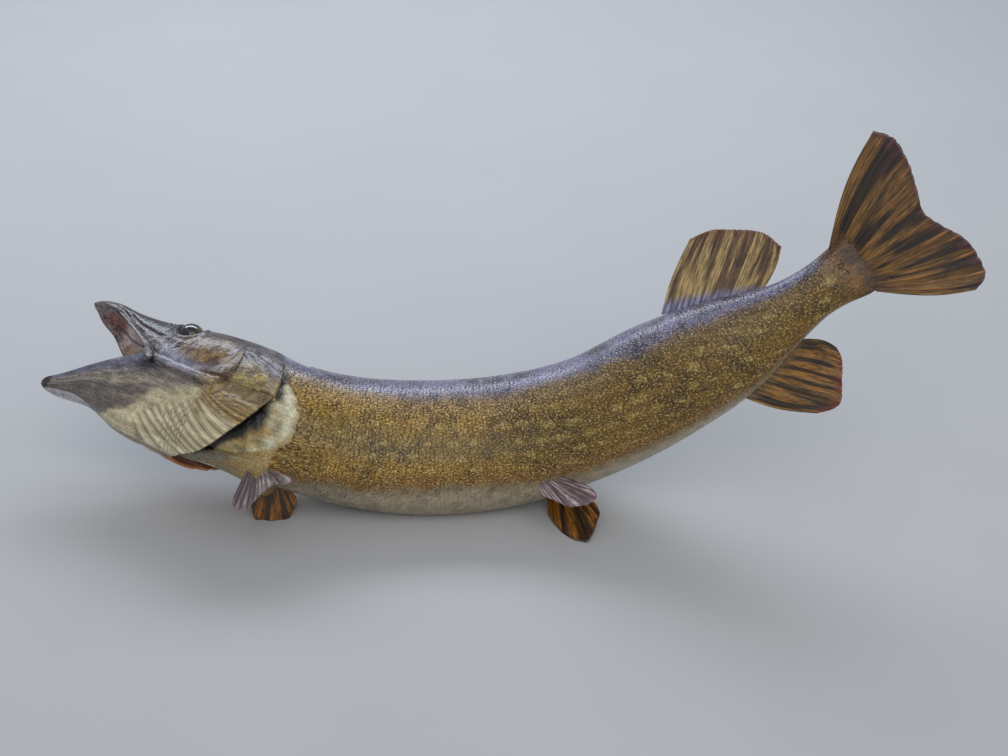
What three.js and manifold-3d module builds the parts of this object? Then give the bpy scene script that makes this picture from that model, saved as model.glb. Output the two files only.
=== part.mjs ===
// A mounted northern pike, about one metre long, lying on its right flank with its mouth open.
//
// Specimen axes, in millimetres: +X runs from the head's side to the tail's, +Y away from the
// shown (left) flank, +Z up.  The fish is one long skin round a bent spine, cut into the lengths
// that carry the fins, with the jaw, the gill covers and the eyes set round its front end.
import * as THREE from 'three';
import { mergeVertices } from 'three/addons/utils/BufferGeometryUtils.js';
import Module from 'manifold-3d';

const wasm = await Module();
wasm.setup();
const { Vector3 } = THREE;

// ---------------------------------------------------------------- driving dimensions
const GAP = 0.45;                          // clear space left between neighbouring pieces
const STAND = { x: -15.9, y: 17 };         // middle of the specimen's box, moved to the origin

// Head: the snout's tip, and how the head is turned.  Heading is measured from +X, pitch from
// level, and lean is the roll of the back away from upright, towards the right flank.
const HEAD = { tip: [-439, 146, 138], heading: 142.3, pitch: 9.9, lean: 73.1 };

// Sections of the head, by distance behind the snout's tip.  rise lifts the spine off the
// head's own axis; top, mid and bottom are heights from that axis; side is the half width and
// box the roundness of the section (1 is an ellipse, less is squarer).  hang is how much lower
// the right maxilla hangs than the left.
const HEAD_SECTIONS = [
  { back: 1, rise: 0, top: 0, mid: -2, bottom: -4, side: 5, box: 0.8, hang: 1 },
  { back: 10, rise: 0, top: 4.5, mid: -2, bottom: -1.5, side: 12, box: 0.75, hang: 5.5 },
  { back: 31, rise: 0, top: 12, mid: -1, bottom: 3, side: 20, box: 0.72, hang: 11 },
  { back: 62, rise: 0, top: 17, mid: -7, bottom: 2, side: 23, box: 0.68, hang: 18 },
  { back: 92, rise: 0, top: 24.5, mid: -15, bottom: 1, side: 27.5, box: 0.62, hang: 13 },
  { back: 115, rise: 0, top: 33, mid: -21, bottom: -3, side: 32, box: 0.6, hang: 5 },
  { back: 131, rise: 0, top: 38.5, mid: -15, bottom: -23, side: 36.5, box: 0.62, hang: 0 },
  { back: 159, rise: 0, top: 48, mid: -3, bottom: -39, side: 41, box: 0.7, hang: 0 },
  { back: 194, rise: 4, top: 59.5, mid: 3, bottom: -51, side: 44.5, box: 0.8, hang: 0 },
  { back: 222, rise: 10, top: 67, mid: 6, bottom: -60, side: 46.5, box: 0.85, hang: 0 },
];

// Lips of the upper jaw: their width, how hollow the palate is where they are full, and how soon
// the palate's wall turns down to them.
const LIP = { width: 3.2, depth: 8, turn: 0.25 };

// Sections of the body: the spine's place, the half depth and half width, and the lean.
const BODY_SECTIONS = [
  { name: 'shoulder', at: [-227, 1.5, 88.5], deep: 65.5, side: 51, lean: 64 },
  { name: 'breast', at: [-168, 4, 64.5], deep: 68, side: 51.4, lean: 58.5 },
  { name: 'belly', at: [-88, 7, 51], deep: 71.5, side: 52.1, lean: 55.5 },
  { name: 'waist', at: [-5, 10, 56], deep: 70, side: 51, lean: 53 },
  { name: 'loin', at: [84, 10, 86.5], deep: 64.5, side: 46.3, lean: 47.5 },
  { name: 'dorsal', at: [162, 10, 135.5], deep: 62, side: 42.6, lean: 41 },
  { name: 'vent', at: [227, 10, 178], deep: 50.5, side: 34.4, lean: 35.5 },
  { name: 'stalk', at: [275, 10, 216], deep: 31.7, side: 20.9, lean: 34.7 },
  { name: 'wrist', at: [300, 12, 237], deep: 26.6, side: 15.9, lean: 34 },
  { name: 'fork', at: [333, 14, 263], deep: 30.6, side: 11, lean: 30 },
];
const BODY_BOX = 0.92;

// Places along the spine where the skin is parted into nodes.
const CUTS = { nape: 232, front: 407, middle: 584, rear: 754 };
const JOINT_RIM = 3;                       // how far the disc that parts two nodes stands proud

// Lower jaw and throat: a trough whose left and right rims (back, up, out) and keel (back, up)
// run from the chin, station 0, to the gill opening, station 9.  bow swells a section backward
// and shift moves it to the left, following the bend of the neck.
const THROAT_SECTIONS = [
  { rim: [28, -103, 4.5], keel: [35, -110.5], bow: 0, shift: 0 },
  { rim: [47, -90.5, 12], keel: [58, -106], bow: 0, shift: 0 },
  { rim: [72, -64.5, 21], keel: [92, -95.5], bow: 0, shift: 0 },
  { rim: [94.5, -44, 29], keel: [128, -99], bow: 0, shift: 0 },
  { rim: [110.5, -31, 34.5], keel: [150, -98], bow: 0, shift: 0 },
  { rim: [125, -21, 38.5], keel: [171, -94.5], bow: 0, shift: 0 },
  { rim: [156, -18.5, 45.5], keel: [191, -91], bow: 2, shift: 0 },
  { rim: [190, -13, 50.5], keel: [208, -87.5], bow: 7, shift: -1 },
  { rim: [230, -2.6, 56], keel: [224, -83.5], bow: 13, shift: -3 },
  { rim: [271, 8.5, 58.5], keel: [241, -78], bow: 17, shift: -6 },
];
const JAW_END = 5;                         // station where the jaw passes into the throat
const THROAT_BULGE = 0.86;
const RIGHT_BOW = -0.9;                    // the right membrane is drawn in where the left one swells
const THROAT_WALL = 4;
const FRINGE = {                           // the shown membrane's rear edge: its station by turn
  turns: [0, 0.12, 0.29, 0.49, 0.65, 0.81, 1],
  stations: [6.9, 7.38, 8.12, 8.47, 8.7, 8.9, 9],
};
const RIM_SHARE = 0.45;                    // most of the chin's half width that its wall may take
const MOUTH_FLOOR = { chin: 0.7, corner: 0.3 };   // depth of the mouth inside the jaw, of its height
const SEAM = { stations: 0.02, turns: 0.003 };    // clear space at the throat's joints, in its own units

// Gill cover: its corners as [back, up, out], before it is laid on the skull.
const COVER = {
  front: [[191, -11.5, 50.5], [200, 12, 50.5], [194, 37, 41.5]],
  rear: [[272, 9, 58.5], [263, 27, 57], [247, 46, 48]],
  thickness: 3.5,
  crown: 2,
  lift: 0.6,
};
const NECK_SHIFT = -6;                     // the neck's bend, measured at the cover's rear edge

const EYE = { back: 128.5, up: 24.5, out: 22.5, radius: 12.5, bulge: 10, tilt: 22 };
const TEETH = { count: 7, length: 7, radius: 1.6, sides: 6, first: 1.2, last: 3.7, inset: 5, sunk: 0.2,
  lean: { back: -0.6, up: 1, in: 0.3 } };

// Fins: root is the line they grow from and edge the outline of their free edge, both as
// [back, left, up] from the spine at place.  rays is the number of ribs.
const FINS = {
  dorsal_fin: {
    place: 697, root: [[4, 0, 60], [100, 0, 33]], rays: 13, thick: [4, 1.1], bow: 4, curl: 3,
    edge: [[64, 0, 115], [86, 0, 113], [107, 0, 104], [131, 0, 87], [141, 0, 66]],
  },
  anal_fin: {
    place: 742, root: [[-5, 0, -50], [69, 0, -25]], rays: 11, thick: [4, 1.1], bow: 5, curl: -3,
    edge: [[53, 0, -98], [76, 0, -100], [90, 0, -80], [99, 0, -60], [99, 0, -50]],
  },
  tail_fin: {
    place: 889, root: [[-7, 0, 28], [8, 0, -31]], rays: 15, thick: [7, 1.2], bow: 7, curl: 4,
    edge: [[88, 0, 99], [99, 0, 84], [99, 0, 59], [92, 0, 29], [86, 0, 9],
      [92, 0, -8], [102, 0, -30], [105, 0, -50], [100, 0, -72], [85, 0, -79]],
  },
  pectoral_fin_left: {
    place: 262, root: [[-4, 20, -56], [11, 21, -55]], rays: 8, thick: [3.5, 1.1], bow: 0, curl: 2,
    edge: [[1, 34, -103], [7, 37, -113], [15, 37, -111], [21, 33, -97], [27, 27, -73],
      [42, 24, -58], [41, 22, -51]],
  },
  pectoral_fin_right: {
    place: 274, root: [[-5, -21, -48], [7, -20, -47]], rays: 8, thick: [3.5, 1.3], bow: 0, curl: 2,
    edge: [[-8, -47, -79], [-4, -51, -84], [3, -56, -89], [18, -52, -87], [33, -47, -81],
      [34, -41, -73], [35, -33, -65], [31, -28, -60]],
  },
  pelvic_fin_left: {
    place: 542, root: [[-22, 24, -50], [5, 26, -55]], rays: 8, thick: [3.5, 1.1], bow: 0, curl: 2,
    edge: [[-13, 32, -71], [-4, 35, -78], [11, 41, -89], [19, 43, -92], [27, 43, -93],
      [37, 42, -91], [41, 39, -86], [37, 35, -77], [26, 30, -66]],
  },
  pelvic_fin_right: {
    place: 542, root: [[-19, -25, -48], [9, -22, -55]], rays: 8, thick: [3.5, 1.3], bow: 0, curl: 2,
    edge: [[-23, -14, -81], [-16, -6, -97], [-4, 1, -113], [5, 3, -119], [16, 4, -122], [20, 2, -117],
      [26, -3, -107], [31, -7, -98], [29, -12, -84]],
  },
};

// How a fin swells at its ribs and thins to its edge.
const RIB = { groove: 0.72, taper: 0.6 };

// Facets: round a section, along each length of skin, and across each smaller piece.
const ROUND = 24;
const STEPS = { skull: 21, front: 11, middle: 8, rear: 8, stalk: 7, fin: 3 };
const GRIDS = { jaw: [8, 12], throat: [10, 8], cover: [6, 5], eye: [14, 9] };
const FLOOR_BLOCK = 1400;                  // size of the block that takes off what is below z = 0

const COLOURS = {
  back: 0x5f5536, flank: 0x77683a, belly: 0x8d8560, head: 0x7b7278, jaw: 0x817b70,
  throat: 0xa09a78, cover: 0x8a8272, eye: 0x14171a, fin: 0x6b4f22, paleFin: 0x8b7f84,
};

const VARNISH = 0.35;                      // roughness of the varnished skin
const GLASS = 0.08;                        // roughness of the glass eyes

// ---------------------------------------------------------------- small tools
const radians = (degrees) => degrees * Math.PI / 180;
const range = (n) => Array.from({ length: n }, (_, i) => i);
const spread = (from, to, n) => range(n + 1).map((i) => from + (to - from) * i / n);
const mix = (a, b, t) => a + (b - a) * t;
const clamp = (x) => Math.min(Math.max(x, 0), 1);
const power = (x, p) => Math.sign(x) * Math.abs(x) ** p;

// A smooth curve through rows of numbers: a cubic between knots, whose slope at each knot is
// that of the parabola through the knot and its two neighbours.
function flow(knots, rows) {
  const last = knots.length - 1;
  const steps = range(last).map((i) => knots[i + 1] - knots[i]);
  const rises = range(last).map((i) => rows[0].map((_, c) => (rows[i + 1][c] - rows[i][c]) / steps[i]));
  const slopes = rows.map((row, i) => row.map((_, c) => (i > 0 && i < last
    ? (rises[i - 1][c] * steps[i] + rises[i][c] * steps[i - 1]) / (steps[i - 1] + steps[i]) : 0)));
  slopes[0] = rises[0].map((r, c) => 1.5 * r - 0.5 * slopes[1][c]);
  slopes[last] = rises[last - 1].map((r, c) => 1.5 * r - 0.5 * slopes[last - 1][c]);
  return (x) => {
    let i = 0;
    while (i < last - 1 && x >= knots[i + 1]) i += 1;
    const h = steps[i];
    const t = (x - knots[i]) / h;
    return rows[i].map((a, c) => (1 + 2 * t) * (1 - t) ** 2 * a + t * (1 - t) ** 2 * h * slopes[i][c]
      + t * t * (3 - 2 * t) * rows[i + 1][c] + t * t * (t - 1) * h * slopes[i + 1][c]);
  };
}

const lengths = (points) => points.reduce((sum, p, i) => [...sum,
  i ? sum[i - 1] + p.distanceTo(points[i - 1]) : 0], []);

// Forward, left and up directions of a length of fish that faces forward and leans to its right.
function turned(forward, lean) {
  const right = new Vector3().crossVectors(forward, new Vector3(0, 0, 1)).normalize();
  const raised = new Vector3().crossVectors(right, forward);
  const c = Math.cos(radians(lean));
  const s = Math.sin(radians(lean));
  return {
    forward,
    left: right.clone().multiplyScalar(-c).addScaledVector(raised, s),
    up: raised.clone().multiplyScalar(c).addScaledVector(right, s),
  };
}

// ---------------------------------------------------------------- the head's own axes
const headAxes = turned(new Vector3(
  Math.cos(radians(HEAD.heading)) * Math.cos(radians(HEAD.pitch)),
  Math.sin(radians(HEAD.heading)) * Math.cos(radians(HEAD.pitch)),
  Math.sin(radians(HEAD.pitch)),
), HEAD.lean);
const onHead = (back, up, left) => new Vector3(...HEAD.tip).addScaledVector(headAxes.forward, -back)
  .addScaledVector(headAxes.up, up).addScaledVector(headAxes.left, left);

// ---------------------------------------------------------------- the spine and the skin round it
const sections = [
  ...HEAD_SECTIONS.map((h) => ({ at: onHead(h.back, h.rise, 0),
    form: [h.top - h.rise, h.mid - h.rise, h.bottom - h.rise, h.side, HEAD.lean, h.box, h.hang] })),
  ...BODY_SECTIONS.map((b) => ({ at: new Vector3(...b.at),
    form: [b.deep, 0, -b.deep, b.side, b.lean, BODY_BOX, 0] })),
];
const knots = lengths(sections.map((s) => s.at));
const SPINE_END = knots[knots.length - 1];
const spine = flow(knots, sections.map((s) => s.at.toArray()));
const form = flow(knots, sections.map((s) => s.form));

function frameAt(s) {
  const reach = 0.5;
  const ahead = new Vector3(...spine(Math.max(s - reach, 0)));
  const behind = new Vector3(...spine(Math.min(s + reach, SPINE_END)));
  return { at: new Vector3(...spine(s)), ...turned(ahead.sub(behind).normalize(), form(s)[4]) };
}

// A point of the skin at place s and turn phi (0 on the back, a quarter turn on the left flank),
// or one that stands proud of it.  Where the palate is hollow, its walls are drawn in from the
// lips, so that the lips are as wide as LIP says.
function skinPoint(s, phi, proud) {
  const { at, left, up } = frameAt(s);
  const [top, middle, bottom, side, , box, hang] = form(s);
  const c = Math.cos(phi);
  const hollow = clamp((bottom - middle) / LIP.depth);
  const inner = hollow * clamp(-c / LIP.turn);
  const lip = middle - proud * (1 + 2 * hollow);
  const end = c >= 0 ? top + proud : bottom - proud;
  const height = lip + (end - lip) * Math.abs(c) ** box - hang * ((1 - Math.sin(phi)) / 2) ** 4;
  const half = (side + proud * (1 - 2 * inner)) * Math.abs(Math.sin(phi)) ** box - LIP.width * inner;
  return at.addScaledVector(left, Math.sign(Math.sin(phi)) * Math.max(half, 0)).addScaledVector(up, height);
}

// ---------------------------------------------------------------- closed meshes and solids
function geometryOf(points, faces) {
  const geometry = new THREE.BufferGeometry();
  const corners = points.flatMap((p) => [p.x, p.y, p.z]);
  geometry.setAttribute('position', new THREE.Float32BufferAttribute(corners, 3));
  geometry.setIndex(faces.flat());
  return geometry;
}

function solidOf(geometry) {
  const bare = geometry.clone();
  bare.deleteAttribute('normal');
  bare.deleteAttribute('uv');
  const merged = mergeVertices(bare, 1e-4);
  const vertProperties = new Float32Array(merged.attributes.position.array);
  const triVerts = new Uint32Array(merged.index.array);
  const solid = new wasm.Manifold(new wasm.Mesh({ numProp: 3, vertProperties, triVerts }));
  if (solid.volume() > 0) return solid;
  return new wasm.Manifold(new wasm.Mesh({ numProp: 3, vertProperties, triVerts: triVerts.reverse() }));
}

function geometryFrom(solid) {
  const mesh = solid.getMesh();
  const geometry = new THREE.BufferGeometry();
  const corners = new Float32Array(mesh.numVert * 3);
  range(mesh.numVert).forEach((i) => {
    const first = i * mesh.numProp;
    corners.set(mesh.vertProperties.slice(first, first + 3), i * 3);
  });
  geometry.setAttribute('position', new THREE.BufferAttribute(corners, 3));
  geometry.setIndex([...mesh.triVerts]);
  return geometry;
}

const joined = (solids) => solids.reduce((all, solid) => all.add(solid));

// A tube of rings, all with the same number of points, closed by a fan at each end.
function tube(rings) {
  const n = rings[0].length;
  const points = rings.flat();
  const faces = [];
  range(rings.length - 1).forEach((i) => range(n).forEach((j) => {
    const a = i * n + j;
    const b = i * n + (j + 1) % n;
    faces.push([a, b, b + n], [a, b + n, a + n]);
  }));
  [0, rings.length - 1].forEach((i) => {
    const centre = rings[i].reduce((sum, p) => sum.add(p), new Vector3()).divideScalar(n);
    points.push(centre);
    range(n).forEach((j) => {
      const a = i * n + j;
      const b = i * n + (j + 1) % n;
      faces.push(i ? [a, b, points.length - 1] : [b, a, points.length - 1]);
    });
  });
  return solidOf(geometryOf(points, faces));
}

// A plate between two grids of points of the same size, closed round its four sides.
function plate(outer, inner) {
  const rows = outer.length;
  const columns = outer[0].length;
  const rings = range(rows).map((i) => [...outer[i], ...inner[i].slice().reverse()]);
  const n = columns * 2;
  const points = rings.flat();
  const faces = [];
  range(rows - 1).forEach((i) => range(n).forEach((j) => {
    const a = i * n + j;
    const b = i * n + (j + 1) % n;
    faces.push([a, b, b + n], [a, b + n, a + n]);
  }));
  [0, rows - 1].forEach((i) => range(columns - 1).forEach((j) => {
    const a = i * n + j;
    const d = i * n + n - 1 - j;
    faces.push(...(i ? [[a, a + 1, d - 1], [a, d - 1, d]] : [[a + 1, a, d - 1], [d - 1, a, d]]));
  }));
  return solidOf(geometryOf(points, faces));
}

const bodyTube = (from, to, steps, proud = 0) => tube(spread(from, to, steps)
  .map((s) => range(ROUND).map((j) => skinPoint(s, j * 2 * Math.PI / ROUND, proud))));

// ---------------------------------------------------------------- jaw, throat and gill covers
const throatRows = flow(range(THROAT_SECTIONS.length),
  THROAT_SECTIONS.map((t) => [...t.rim, ...t.keel, t.bow, t.shift]));

// A point of the trough at station v and turn psi, from -1 on the right rim through 0 on the
// keel to 1 on the left rim.  wall moves it inward, and floor is how far the keel is raised.
function throatPoint(v, psi, wall, floor) {
  const [rimBack, rimUp, rimOut, keelBack, keelUp, bow, shift] = throatRows(v);
  const angle = psi * Math.PI / 2;
  const rise = mix(floor, 1, 1 - Math.abs(Math.cos(angle)) ** THROAT_BULGE);
  const out = (rimOut - wall) * power(Math.sin(angle), THROAT_BULGE);
  const swell = bow * (psi < 0 ? RIGHT_BOW : 1) * Math.sin(Math.PI * Math.abs(psi));
  return onHead(mix(keelBack, rimBack, rise) + swell,
    mix(keelUp, rimUp, rise), out + shift);
}

function makeLowerJaw() {
  const stations = spread(0, JAW_END, GRIDS.jaw[0]);
  const turns = spread(-1, 1, GRIDS.jaw[1]);
  const wall = (v) => Math.min(THROAT_WALL, throatRows(v)[2] * RIM_SHARE);
  const floor = (v) => 1 - mix(MOUTH_FLOOR.chin, MOUTH_FLOOR.corner, v / JAW_END);
  const outer = stations.map((v) => turns.map((t) => throatPoint(v, t, 0, 0)));
  const inner = stations.map((v) => turns.map((t) => throatPoint(v, t, wall(v), floor(v))));
  return plate(outer, inner).add(makeTeeth());
}

// The canines stand in a row along each side of the jaw, leaning inward and forward.
function makeTeeth() {
  const places = spread(TEETH.first, TEETH.last, TEETH.count - 1);
  const cones = [-1, 1].flatMap((side) => places.map((v) => {
    const [back, up, out] = throatRows(v);
    const row = out - TEETH.inset;
    const root = onHead(back, up, side * row);
    const above = onHead(back + TEETH.lean.back, up + TEETH.lean.up, side * (row - TEETH.lean.in));
    const rise = above.sub(root).normalize();
    const cone = new THREE.ConeGeometry(TEETH.radius, TEETH.length, TEETH.sides);
    cone.applyQuaternion(new THREE.Quaternion().setFromUnitVectors(new Vector3(0, 1, 0), rise));
    const middle = root.addScaledVector(rise, TEETH.length * (0.5 - TEETH.sunk));
    cone.translate(middle.x, middle.y, middle.z);
    return solidOf(cone);
  }));
  return joined(cones);
}

// One side of the throat, from the jaw to its rear edge.  The right membrane reaches the last
// station all along, and the left one ends at the fringe.
function makeThroatSide(side) {
  const fringe = flow(FRINGE.turns, FRINGE.stations.map((v) => [v]));
  const edge = (turn) => (side > 0 ? fringe(turn)[0] : THROAT_SECTIONS.length - 1);
  const raise = (v) => THROAT_WALL / Math.hypot(throatRows(v)[0] - throatRows(v)[3],
    throatRows(v)[1] - throatRows(v)[4]);
  const wall = (thickness) => spread(0, 1, GRIDS.throat[0]).map((share) => spread(SEAM.turns,
    1 - SEAM.turns, GRIDS.throat[1]).map((turn) => {
    const v = mix(JAW_END + SEAM.stations, edge(turn), share);
    return throatPoint(v, turn * side, thickness, thickness && raise(v));
  }));
  return plate(wall(0), wall(THROAT_WALL));
}

function makeGillCover(side) {
  const rail = (corners) => flow([0, 0.5, 1], corners);
  const front = rail(COVER.front);
  const rear = rail(COVER.rear);
  const [columns, rows] = GRIDS.cover;
  const grid = (inward) => spread(0, 1, columns).map((a) => spread(0, 1, rows).map((b) => {
    const [back, up, out] = front(b).map((f, c) => mix(f, rear(b)[c], a));
    const crowned = out - inward + COVER.crown * Math.sin(Math.PI * a);
    return onHead(back, up + COVER.lift, side * crowned + NECK_SHIFT * a * a);
  }));
  return plate(grid(0), grid(COVER.thickness));
}

function makeEye(side, swell) {
  const eye = new THREE.SphereGeometry(1, ...GRIDS.eye);
  eye.scale(EYE.radius + swell, EYE.bulge + swell, EYE.radius + swell);
  const tilt = radians(EYE.tilt);
  const out = headAxes.left.clone().multiplyScalar(side * Math.cos(tilt))
    .addScaledVector(headAxes.up, Math.sin(tilt));
  eye.applyQuaternion(new THREE.Quaternion().setFromUnitVectors(new Vector3(0, 1, 0), out));
  const centre = onHead(EYE.back, EYE.up, side * EYE.out);
  eye.translate(centre.x, centre.y, centre.z);
  return solidOf(eye);
}

// ---------------------------------------------------------------- fins
// A fin is a thin fan: ribs run from the root line to the free edge, thick at the root and thin
// at the edge, and every second column lies in the groove between two ribs.
function makeFin({ place, root, edge, rays, thick, bow, curl }) {
  const { at, forward, left, up } = frameAt(place);
  const point = ([back, out, high]) => at.clone().addScaledVector(forward, -back)
    .addScaledVector(left, out).addScaledVector(up, high);
  const rim = edge.map(point);
  const rimPlaces = lengths(rim);
  const rimEnd = rimPlaces[rimPlaces.length - 1];
  const rimCurve = flow(rimPlaces, rim.map((p) => p.toArray()));
  const [start, end] = root.map(point);
  const rootLine = end.clone().sub(start);
  const normal = rootLine.clone().cross(new Vector3(...rimCurve(rimEnd / 2)).sub(start)).normalize();
  const across = rootLine.clone().normalize();
  const column = (a, groove, face) => spread(0, 1, STEPS.fin).map((r) => start.clone().lerp(end, a)
    .lerp(new Vector3(...rimCurve(a * rimEnd)), r)
    .addScaledVector(across, bow * (2 * a - 1) * Math.sin(Math.PI * r))
    .addScaledVector(normal, curl * r * r + face * mix(...thick, r ** RIB.taper) * groove / 2));
  const side = (face) => spread(0, 1, rays * 2).map((a, i) => column(a, i % 2 ? RIB.groove : 1, face));
  return plate(side(1), side(-1));
}

// ---------------------------------------------------------------- the pieces
const skinLengths = [
  ['head_upper', 0, CUTS.nape, STEPS.skull, COLOURS.head],
  ['trunk_front', CUTS.nape, CUTS.front, STEPS.front, COLOURS.flank],
  ['trunk_middle', CUTS.front, CUTS.middle, STEPS.middle, COLOURS.flank],
  ['trunk_rear', CUTS.middle, CUTS.rear, STEPS.rear, COLOURS.back],
  ['tail_stalk', CUTS.rear, SPINE_END, STEPS.stalk, COLOURS.back],
];
const core = joined(skinLengths.map(([, from, to, steps]) => bodyTube(from, to, steps, GAP)));
const joints = joined(Object.values(CUTS).map((s) => bodyTube(s - GAP / 2, s + GAP / 2, 1, JOINT_RIM)));
const outside = (solid) => solid.subtract(core);
const sockets = joined([1, -1].map((side) => makeEye(side, GAP)));
const floorBlock = solidOf(new THREE.BoxGeometry(FLOOR_BLOCK, FLOOR_BLOCK, FLOOR_BLOCK)
  .translate(0, 0, -FLOOR_BLOCK / 2));

const specimen = new THREE.Group();
const headGroup = new THREE.Group();
const bodyGroup = new THREE.Group();
const finGroup = new THREE.Group();
specimen.add(headGroup, bodyGroup, finGroup);
specimen.position.set(-STAND.x, -STAND.y, 0);

function addPiece(group, name, solid, colour, roughness = VARNISH) {
  const geometry = geometryFrom(solid.subtract(floorBlock));
  const material = new THREE.MeshStandardMaterial({ color: colour, roughness, metalness: 0 });
  const mesh = new THREE.Mesh(geometry, material);
  mesh.name = name;
  group.add(mesh);
}

skinLengths.forEach(([name, from, to, steps, colour]) => {
  const solid = bodyTube(from, to, steps).subtract(joints).subtract(sockets);
  addPiece(from ? bodyGroup : headGroup, name, solid, colour);
});
addPiece(headGroup, 'lower_jaw', outside(makeLowerJaw()), COLOURS.jaw);
['left', 'right'].forEach((word, i) => {
  const side = i ? -1 : 1;
  addPiece(headGroup, `eye_${word}`, makeEye(side, 0), COLOURS.eye, GLASS);
  addPiece(headGroup, `gill_cover_${word}`, outside(makeGillCover(side)), COLOURS.cover);
  addPiece(headGroup, `gill_membrane_${word}`, outside(makeThroatSide(side)), COLOURS.throat);
});
Object.entries(FINS).forEach(([name, fin]) => {
  const colour = name.endsWith('_left') ? COLOURS.paleFin : COLOURS.fin;
  addPiece(finGroup, name, outside(makeFin(fin)), colour);
});

export default specimen;
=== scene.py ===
import math

import bpy
import numpy as np
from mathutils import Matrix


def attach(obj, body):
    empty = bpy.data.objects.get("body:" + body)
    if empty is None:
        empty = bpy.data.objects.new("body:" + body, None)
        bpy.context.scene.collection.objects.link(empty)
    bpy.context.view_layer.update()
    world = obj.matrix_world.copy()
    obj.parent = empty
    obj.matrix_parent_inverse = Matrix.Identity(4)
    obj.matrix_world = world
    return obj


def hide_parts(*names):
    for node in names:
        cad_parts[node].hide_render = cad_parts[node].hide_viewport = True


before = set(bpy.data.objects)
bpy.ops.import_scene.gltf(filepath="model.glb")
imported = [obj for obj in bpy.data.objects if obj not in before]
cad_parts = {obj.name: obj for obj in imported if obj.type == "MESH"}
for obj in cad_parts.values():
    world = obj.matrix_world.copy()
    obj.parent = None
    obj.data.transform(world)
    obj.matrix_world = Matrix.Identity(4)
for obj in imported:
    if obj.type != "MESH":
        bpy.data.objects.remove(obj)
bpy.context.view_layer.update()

# A mounted northern pike lying on its right flank: one skin round a bent spine, a coat of scales
# over it, ribbed fins, glass eyes and teeth, on a pale floor.  Shapes are worked out in
# millimetres on the specimen's own axes, as the solids are, and laid into the meshes in metres.

# ---------------------------------------------------------------- the body's driving dimensions
MILLIMETRE = 0.001
STAND = np.array([-15.9, 17.0, 0.0])           # middle of the specimen's box, moved to the origin
HEAD_TIP = np.array([-439.0, 146.0, 138.0])
HEAD_HEADING, HEAD_PITCH, HEAD_LEAN = 142.3, 9.9, 73.1
UP = np.array([0.0, 0.0, 1.0])

# Sections of the head: back, rise, top, mid, bottom, side, box, hang.
HEAD_SECTIONS = np.array([
    (1, 0, 0, -2, -4, 5, 0.8, 1),
    (10, 0, 4.5, -2, -1.5, 12, 0.75, 5.5),
    (31, 0, 12, -1, 3, 20, 0.72, 11),
    (62, 0, 17, -7, 2, 23, 0.68, 18),
    (92, 0, 24.5, -15, 1, 27.5, 0.62, 13),
    (115, 0, 33, -21, -3, 32, 0.6, 5),
    (131, 0, 38.5, -15, -23, 36.5, 0.62, 0),
    (159, 0, 48, -3, -39, 41, 0.7, 0),
    (194, 4, 59.5, 3, -51, 44.5, 0.8, 0),
    (222, 10, 67, 6, -60, 46.5, 0.85, 0),
])
LIP_WIDTH, LIP_DEPTH, LIP_TURN = 3.2, 8.0, 0.25

# Sections of the body: the spine's place (x, y, z), half depth, half width and lean.
BODY_SECTIONS = np.array([
    (-227, 1.5, 88.5, 65.5, 51, 64),
    (-168, 4, 64.5, 68, 51.4, 58.5),
    (-88, 7, 51, 71.5, 52.1, 55.5),
    (-5, 10, 56, 70, 51, 53),
    (84, 10, 86.5, 64.5, 46.3, 47.5),
    (162, 10, 135.5, 62, 42.6, 41),
    (227, 10, 178, 50.5, 34.4, 35.5),
    (275, 10, 216, 31.7, 20.9, 34.7),
    (300, 12, 237, 26.6, 15.9, 34),
    (333, 14, 263, 30.6, 11, 30),
])
BODY_BOX = 0.92

# Lower jaw and throat: rim (back, up, out), keel (back, up), bow and shift at each station.
THROAT_SECTIONS = np.array([
    (28, -103, 4.5, 35, -110.5, 0, 0),
    (47, -90.5, 12, 58, -106, 0, 0),
    (72, -64.5, 21, 92, -95.5, 0, 0),
    (94.5, -44, 29, 128, -99, 0, 0),
    (110.5, -31, 34.5, 150, -98, 0, 0),
    (125, -21, 38.5, 171, -94.5, 0, 0),
    (156, -18.5, 45.5, 191, -91, 2, 0),
    (190, -13, 50.5, 208, -87.5, 7, -1),
    (230, -2.6, 56, 224, -83.5, 13, -3),
    (271, 8.5, 58.5, 241, -78, 17, -6),
])
LAST_STATION = 9.0
THROAT_BULGE = 0.86
RIGHT_BOW = -0.9
MOUTH_END = 5.2                                # station where the mouth's floor meets the gullet
MOUTH_FLOOR = (0.7, 0.3)                       # the mouth's share of the jaw's depth: chin, corner
JAW_WALL = 3.6
RAGGED = (7.0, 1.6)                            # depth of the hidden and the shown edge's fraying
# The breast's narrow end between the membranes: back, up, left, half width and half height.
ISTHMUS = [(296, -37, -9, 32, 22), (266, -46, -7, 22, 15), (240, -60, -4, 13, 9),
           (214, -75, -2, 6, 4.5), (200, -82, -1, 1, 1)]
# Blade of the upper jaw over the mouth's corner: back, up, left and half width.
BLADE = [(36, 1, 19, 0.8), (50, -1, 22, 1.6), (70, -5.5, 24.2, 2.3), (90, -10.5, 27.8, 3.0),
         (108, -16, 32.8, 3.8), (118, -21.5, 37.2, 4.2), (127, -28, 41, 3.8),
         (131, -31.5, 42.6, 0.6)]
BLADE_THICK = 1.5
CHIN_TIP = 0.55                                # station at which the chin's rounded end starts
# Where the tail's flesh starts to thin, how far it runs onto the fin, its least half width, and
# where its scales end, on average.
TAIL_TAPER, TAIL_REACH, TAIL_THIN, TAIL_SCALES = 846.0, 16.0, 1.2, 878.0

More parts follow.
